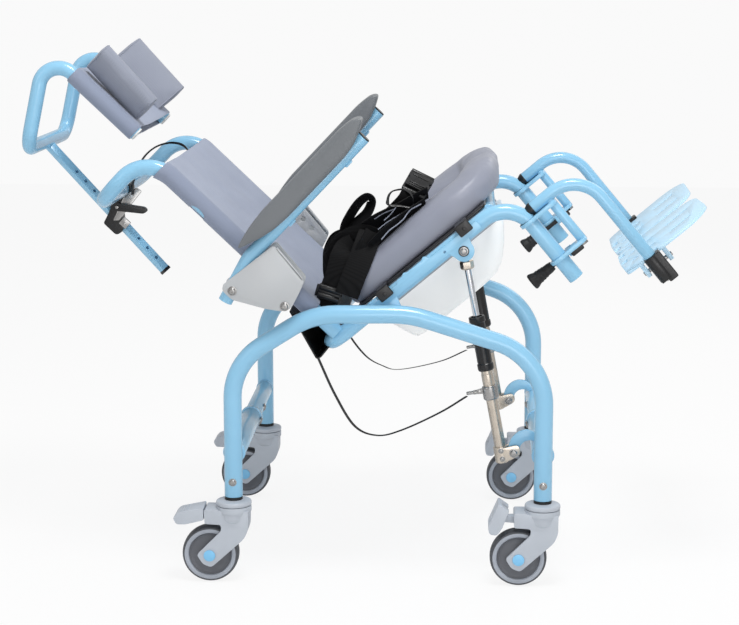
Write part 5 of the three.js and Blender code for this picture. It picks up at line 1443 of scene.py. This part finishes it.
screw = soften(rod("screw", (-150, -33, 447), (-150, -12, 447), 3, 20), 0.5)
metal = put(joined("clamp_metal", nut, lock, stud, screw), BACK)
finish_piece(metal, "zinc", "seat")
handle_outline = [(-156, 443, 3), (-144, 452, 3), (-114, 409, 5), (-116, 401, 4), (-125, 403, 4)]
handle = plate("tilt_lever", handle_outline, -30.5, -19.5, 5)
cut_by(handle, rod("hole", (-150, -40, 447), (-150, -10, 447), 3.3, 20))
handle = put(soften(handle, 1.8, 3), BACK)
finish_piece(handle, "black plastic", "lever", "tilt_lever")
print("clamp and lever ready")

# %% [markdown]
# Each leg support is a bent tube on two plates that swing about the front post, with a thinner tube beside
# the post to stiffen them. A black cone can be pulled against a spring to let it swing.

# %% Leg support hangers
LATCH_AXIS = (-218, -121.5)
hanger_corners = [(298, RAIL_Y, -18), (402, RAIL_Y, -18), (402, RAIL_Y, -212)]
hanger_tube = bent_tube("leg_hanger_right", hanger_corners, [62], 11, 28, 6)
soften(hanger_tube, 0.8)
swing_room = rod("room", (POST_U, RAIL_Y, -170), (POST_U, RAIL_Y, 10), 14.4, 36)
bend_room = rod("room", (POST_U, RAIL_Y, -39), (POST_U, RAIL_Y, 10), 17.8, 36)
shoulders = []
for low, high in ((-119, -112), (-36, -29)):
    outline = [(POST_U, -257, 3), (334, -257, 12), (340, RAIL_Y, 6), (334, -223, 12), (POST_U, -223, 3)]
    shelf = flat_plate("shelf", outline, low, high, 5)
    eye = rod("eye", (POST_U, RAIL_Y, low), (POST_U, RAIL_Y, high), 19, 40)
    for piece in (shelf, eye):
        cut_by(piece, copied(swing_room, "room"), copied(bend_room, "room"))
        soften(piece, 0.7)
    shoulders.extend([shelf, eye])
for piece in (swing_room, bend_room):
    pick(piece)
    bpy.ops.object.delete()
stay = soften(rod("stay", (331, RAIL_Y, -18), (331, RAIL_Y, -117), 8.5, 24), 0.6)
guide = soften(rod("guide", (296, *LATCH_AXIS), (308, *LATCH_AXIS), 8, 24), 0.6)
tongue = soften(plate("tongue", [(296, -119), (308, -119), (308, -112), (296, -112)], RAIL_Y, -214), 0.6)
for piece in (guide, tongue):
    cut_by(piece, rod("hole", (290, *LATCH_AXIS), (320, *LATCH_AXIS), 4.2, 20))
hanger = put(joined("leg_hanger_right", hanger_tube, *shoulders, stay, guide, tongue), SEAT)
finish_pair(hanger, "blue coat", "legrest_right", "hanger_right")

cap = turned("cap", [(0, -13), (6.5, -13, 2), (11.6, -2, 1), (11.6, 1.5), (0, 1.6)], 28)
put(cap, aim((1, 0, 0), (298, RAIL_Y, -18)))
latch_outline = [(300, -130, 3), (325, -130, 3), (325, -119.4, 2), (300, -119.4, 2)]
block = soften(plate("latch", latch_outline, -236, -226), 1.2)
foot_ring = soften(rod("foot_ring", (331, RAIL_Y, -118.8), (331, RAIL_Y, -124), 7, 6), 0.5)
black_bits = put(joined("hanger_caps_right", cap, block), SEAT)
finish_pair(black_bits, "black plastic", "legrest_right")
finish_pair(put(foot_ring, SEAT), "zinc", "legrest_right")

grip = turned(
    "latch_grip_right",
    [(0, -48), (13.6, -48, 2), (15, -45, 2), (14, -41, 2), (12, -36, 1), (11.4, -34, 0.4), (11.8, -30, 0.4),
     (10.8, -28, 0.4), (11.2, -24, 0.4), (10.2, -22, 0.4), (10.4, -18, 0.4), (9.5, -16, 0.4), (9.4, -8, 1),
     (8, 0, 1), (0, 0)],
    32,
)
put(grip, aim((1, 0, 0), (262, *LATCH_AXIS)))
needle = rod("needle", (262, *LATCH_AXIS), (308, *LATCH_AXIS), 3.9, 20)
grip = put(joined("latch_grip_right", grip, needle), SEAT)
finish_pair(grip, "black rubber", "latch_right", "hanger_grip_right", smooth=40)
print("hangers ready")

# %% [markdown]
# The footplates are thick sheet with slots to drain, softened edges and two lugs that go down to the hinge.
# The hinge block is clamped round the foot of the tube and holds the pin that goes through both lugs.

# %% Footplates and hinge blocks
FOOT = [
    (352, -216, 20), (380, -222, 6), (436, -222, 6), (500, -224, 50), (532, -186, 24), (528, -50, 20),
    (514, -22, 18), (455, -5, 60), (400, -3, 4), (352, -3, 45), (348, -96, 70),
]
foot_plate = flat_plate("foot_plate_right", FOOT, -219, -214, 7)
SLOTS = [
    (453, 503, 80), (453, 501, 156), (407, 421, 80), (407, 421, 146), (371, 384, 24), (371, 384, 80),
    (371, 384, 150),
]
tools = []
for start, end, y in SLOTS:
    slot = [(start, -y - 3.4, 3.2), (end, -y - 3.4, 3.2), (end, -y + 3.4, 3.2), (start, -y + 3.4, 3.2)]
    tools.append(flat_plate("slot", slot, -225, -208, 3))
for y in (46, 114):
    heel = [(352, -y - 12, 5.5), (364, -y - 12, 5.5), (364, -y + 12, 5.5), (352, -y + 12, 5.5)]
    tools.append(flat_plate("heel", heel, -225, -208, 5))
tools.append(flat_plate("room", [(387.6, -260), (420.4, -260), (420.4, -201), (387.6, -201)], -225, -208))
cut_by(foot_plate, *tools)
soften(foot_plate, 1.0, 2, 40)
HINGE_AXIS = (-201, -238)
lugs = []
for start, end in ((376, 384), (424, 432)):
    outline = [(-211, -238), (-191, -238), (-191, -214.6), (-211, -214.6)]
    swapped = Matrix(((0, 1, 0, 0), (1, 0, 0, 0), (0, 0, 1, 0), (0, 0, 0, 1)))
    flank = turned_out(put(plate("lug", outline, start, end), swapped))
    round_end = rod("lug", (start, *HINGE_AXIS), (end, *HINGE_AXIS), 10, 32)
    for piece in (flank, round_end):
        cut_by(piece, rod("hole", (start - 5, *HINGE_AXIS), (end + 5, *HINGE_AXIS), 4.2, 24))
        lugs.append(soften(piece, 0.7))
foot_plate = put(joined("foot_plate_right", foot_plate, *lugs), SEAT)
finish_pair(foot_plate, "pale blue coat", "plate_right", "footplate_right")

block_outline = [(402, -268, 3), (420, -268, 3), (420, -212.5, 3), (402, -212.5, 3)]
block = soften(plate("block", block_outline, -252, -226.2, 3), 1.4, 3)
socket = soften(rod("socket", (402, RAIL_Y, -262), (402, RAIL_Y, -212.6), 14, 40), 1.6)
shelf = soften(plate("shelf", [(389, -267), (419, -267), (419, -252), (389, -252)], -228, -194), 1.2, 2)
web = soften(plate("web", [(388.5, -255), (419.5, -255), (419.5, -238), (388.5, -238)], -208, -194), 1, 2)
bearing = soften(rod("bearing", (388.5, *HINGE_AXIS), (419.5, *HINGE_AXIS), 8, 32), 0.8)
hinge_block = put(joined("hinge_block_right", block, socket, shelf, web, bearing), SEAT)
finish_pair(hinge_block, "black plastic", "legrest_right", "footplate_hinge_right")
hinge_pin = soften(rod("hinge_pin_right", (373.6, *HINGE_AXIS), (434.4, *HINGE_AXIS), 3.9, 24), 0.6)
put(hinge_pin, SEAT)
finish_pair(hinge_pin, "zinc", "legrest_right")
set_bolts("hinge_bolts_right", "legrest_right", "zinc", [(402, RAIL_Y, -262.6, (0, 0, -1))], SEAT, 0.95)
print("footplates ready")

# %% [markdown]
# Harness webbing lies in a heap on the cushion. A strap is a flat ribbon: its middle line is a smooth curve,
# its two edges are set off to the sides and lean by some degrees, and Solidify makes it as thick as webbing.

# %% Straps
def strap(name, points, width, lean, thick=1.8):
    """A ribbon along points (u, y, w); lean 0 shows its face to the side, lean 90 lays it flat.

    The lean goes evenly from its first to its second value along the strap.
    """
    line = smooth_line(points, 6)
    rails = []
    last = len(line) - 1
    for k, at in enumerate(line):
        run = (line[min(k + 1, last)] - line[max(k - 1, 0)]).normalized()
        upright = run.cross(Vector((0, 1, 0))).normalized()
        angle = math.radians(lean[0] + (lean[1] - lean[0]) * k / last)
        side = Matrix.Rotation(angle, 3, run) @ upright
        rails.append((at - side * width / 2, at + side * width / 2))
    piece = draw_line(name, [tuple(rails[0][0]), tuple(rails[0][1])])
    for (a, b), (c, d) in zip(rails, rails[1:]):
        bpy.ops.mesh.extrude_edges_move(TRANSFORM_OT_translate={"value": (0, 0, 0)})
        grid = bmesh.from_edit_mesh(piece.data)
        for vertex in [v for v in grid.verts if v.select]:
            near_a = (vertex.co - a * MM).length_squared < (vertex.co - b * MM).length_squared
            vertex.co = (c if near_a else d) * MM
        bmesh.update_edit_mesh(piece.data)
    tidy_faces()
    return apply(piece, "SOLIDIFY", thickness=thick * MM, offset=0)


STRAPS = [
    ([(5, -154, 145), (20, -152, 159), (37, -150, 167), (56, -148, 173), (70, -146, 175), (82, -146, 173),
      (84, -148, 164), (74, -150, 156), (61, -152, 151), (46, -154, 150), (25, -156, 150), (1, -158, 147)],
     36, (64, 64)),
    ([(-56, -162, 98), (-45, -162, 115), (-29, -160, 132), (-9, -156, 141), (12, -152, 138), (34, -150, 128),
      (49, -152, 117)], 38, (14, 4)),
    ([(51, -172, 124), (34, -192, 114), (6, -208, 98), (-22, -217, 83), (-50, -220, 67)], 42, (6, -4)),
    ([(13, -176, 125), (-2, -188, 129), (-17, -199, 123), (-37, -205, 109), (-58, -207, 96), (-82, -207, 84)],
     40, (10, 4)),
    ([(-30, -166, 127), (-1, -168, 138), (25, -170, 133), (42, -170, 119), (44, -172, 104), (30, -178, 94)],
     40, (8, 20)),
    ([(19, -196, 105), (37, -196, 112), (55, -188, 119)], 34, (24, 10)),
    ([(35, -190, 100), (66, -188, 104), (91, -182, 104), (120, -174, 103), (156, -164, 99)], 38, (48, 56)),
    ([(43, -160, 134), (70, -156, 131), (95, -150, 125), (121, -144, 119), (147, -136, 114),
      (168, -130, 109)], 38, (50, 56)),
    ([(80, -146, 120), (105, -142, 120), (126, -138, 121), (140, -130, 124), (154, -115, 128),
      (164, -100, 131)], 40, (40, 0)),
    ([(-66, -200, 88), (-84, -201, 80), (-104, -201, 66)], 38, (0, 0)),
    ([(-50, -150, 110), (-43, -150, 128), (-30, -146, 143), (-8, -142, 153), (14, -140, 147)], 36, (52, 58)),
    ([(-40, -120, 104), (-6, -110, 120), (44, -106, 126), (92, -106, 116), (140, -108, 110)], 36, (20, 40)),
]
webs = [strap(f"strap_{k}", points, width, lean) for k, (points, width, lean) in enumerate(STRAPS)]
belt = put(joined("harness_straps", *webs), SEAT)
finish_piece(belt, "black webbing", "seat", "belt", smooth=50)
print("straps:", len(STRAPS))

# %% [markdown]
# The harness closes with a side-release buckle; its shell is notched at both sides for the fingers and has
# ribs for the thumb. A wire ring lies beside it, and a three-bar slide takes up the slack at the rear.

# %% Buckle, ring and slide
def standing(place, run, width):
    """A frame at a place with x along run and y along width; z is at right angles to both."""
    x = Vector(run).normalized()
    z = x.cross(Vector(width)).normalized()
    turn = Matrix((x, z.cross(x), z)).transposed().to_4x4()
    return Matrix.Translation(Vector(place) * MM) @ turn


buckle_frame = standing((163, -112, 131), (0.52, 0.83, 0.17), (-0.433, 0.05, 0.899))
bars = [soften(rod("bar", (x, -22, -1), (x, 22, -1), r, 24), 1.2) for x, r in ((-27, 4.2), (27, 5.0))]
shell = plate("shell", [(-19, -22, 5), (19, -22, 5), (19, 22, 5), (-19, 22, 5)], -5, 5, 4)
put(shell, Matrix.Rotation(math.radians(-90), 4, "X"))
cut_by(shell, *[soften(rod("finger", (x, y, -9), (x, y, 9), 4.4, 24), 0.4) for x, y in ((4, 23), (4, -23))])
soften(shell, 1.6, 3)
ribs = [
    soften(rod("rib", (x, -15, z), (x, 15, z), 1.3, 14), 0.5) for z in (5.4, -5.4) for x in (-14, -9, 12)
]
rails = [soften(rod("rail", (-27, y, -1), (27, y, -1), 2.6, 16), 0.8) for y in (-20.5, 20.5)]
buckle = put(joined("buckle", shell, *bars, *ribs, *rails), buckle_frame)
ring_points = [
    (104, -172, 141), (112, -172, 150), (122, -172, 154), (132, -172, 151), (143, -172, 143),
    (147, -172, 133), (146, -172, 123), (140, -172, 115), (132, -172, 111), (118, -172, 126),
    (104, -172, 141), (112, -172, 150),
]
wire_ring = cable("wire_ring", ring_points, Matrix.Identity(4), 2.4, 12)[0]
slide = []
for at, end, r in (
    ((-78, -207, 110), (-56, -207, 75), 6.2), ((-90, -208, 101), (-68, -208, 67), 6.2),
    ((-84, -206, 106), (-62, -206, 71), 5),
):
    slide.append(soften(rod("bar", at, end, r, 28), 2.2))
for at, end in (((-54, -206, 80), (-72, -206, 65)), ((-76, -206, 113), (-94, -206, 101))):
    slide.append(soften(rod("side", at, end, 2.6, 16), 1))
hardware = put(joined("harness_buckles", buckle, wire_ring, *slide), SEAT)
finish_piece(hardware, "black plastic", "seat", smooth=40)

PIPES = [
    [(68, -164, 136), (87, -162, 133), (105, -158, 127)],
    [(80, -168, 123), (95, -166, 124), (110, -162, 127)],
    [(59, -204, 103), (79, -200, 106), (95, -196, 105), (110, -192, 105), (122, -186, 108), (132, -184, 109),
     (150, -180, 105)],
    [(62, -176, 118), (84, -170, 117), (108, -164, 113), (130, -158, 109)],
]
piping = [cable("piping", line, Matrix.Identity(4), 1.1, 8)[0] for line in PIPES]
piping = put(joined("strap_piping", *piping), SEAT)
finish_piece(piping, "grey piping", "seat", smooth=50)
print("harness ready")

# %% [markdown]
# The chair stands on a large, plain, pale floor. To the camera the floor is mostly a white glow, mixed with a
# little of the real shading, so that a faint shadow stays. The light is soft and even,
# at a level at which a colour comes out about as it is written: one lamp above, a wide and strong one low
# beside the camera, a weak one at the left in front, and one behind.

# %% Stage and light
clear_selection()
bpy.ops.mesh.primitive_grid_add(x_subdivisions=8, y_subdivisions=24, size=12, location=(0, 0, 0))
floor = bpy.context.object
floor.name = "floor"
FLOOR_GLOW = 0.86
LIGHT_OF_WORLD, SHOWN_WORLD = 0.62, 0.955
stage_look = bpy.data.materials.new("floor_look")
stage_look.use_nodes = True
nodes, links = stage_look.node_tree.nodes, stage_look.node_tree.links
shader = nodes["Principled BSDF"]
shader.inputs["Base Color"].default_value = (0.86, 0.86, 0.86, 1)
shader.inputs["Roughness"].default_value = 0.9
shader.inputs["Specular IOR Level"].default_value = 0.1
glow = nodes.new("ShaderNodeEmission")
glow.inputs["Color"].default_value = (1, 1, 1, 1)
rays = nodes.new("ShaderNodeLightPath")
seen = nodes.new("ShaderNodeMath")
seen.operation = "MULTIPLY"
seen.inputs[1].default_value = FLOOR_GLOW
links.new(rays.outputs["Is Camera Ray"], seen.inputs[0])
mix = nodes.new("ShaderNodeMixShader")
links.new(seen.outputs[0], mix.inputs["Fac"])
links.new(shader.outputs[0], mix.inputs[1])
links.new(glow.outputs[0], mix.inputs[2])
links.new(mix.outputs[0], nodes["Material Output"].inputs["Surface"])
floor.data.materials.append(stage_look)

world = bpy.data.worlds.new("studio")
bpy.context.scene.world = world
world.use_nodes = True
nodes, links = world.node_tree.nodes, world.node_tree.links
sky = nodes["Background"]
sky.inputs["Color"].default_value = (1, 1, 1, 1)
rays = nodes.new("ShaderNodeLightPath")
seen = nodes.new("ShaderNodeMath")
seen.operation = "MAXIMUM"
links.new(rays.outputs["Is Camera Ray"], seen.inputs[0])
links.new(rays.outputs["Is Transmission Ray"], seen.inputs[1])
level = nodes.new("ShaderNodeMapRange")
level.inputs["To Min"].default_value = LIGHT_OF_WORLD
level.inputs["To Max"].default_value = SHOWN_WORLD
links.new(seen.outputs[0], level.inputs["Value"])
links.new(level.outputs[0], sky.inputs["Strength"])
LIT_POINT = Vector((0, 0, 0.5))


def softbox(name, place, size, watts):
    """A square lamp that looks at the middle of the chair."""
    clear_selection()
    bpy.ops.object.light_add(type="AREA", location=place)
    lamp = bpy.context.object
    lamp.name = name
    lamp.data.size = size
    lamp.data.energy = watts
    lamp.rotation_mode = "QUATERNION"
    lamp.rotation_quaternion = (Vector(place) - LIT_POINT).to_track_quat("Z", "Y")


softbox("lamp_above", (0.3, -0.9, 2.8), 0.8, 36)
softbox("lamp_front", (-2.4, -2.6, 1.6), 1.2, 6)
softbox("lamp_low", (0.9, -4.2, 0.5), 2.4, 48)
softbox("lamp_behind", (1.6, 2.4, 2.2), 1.6, 12)
print("stage and lamps ready")

# %% [markdown]
# At the end the master bolt, from which all bolts were copied, is removed.

# %% Remove the master bolt
bpy.data.objects.remove(bolt_master)
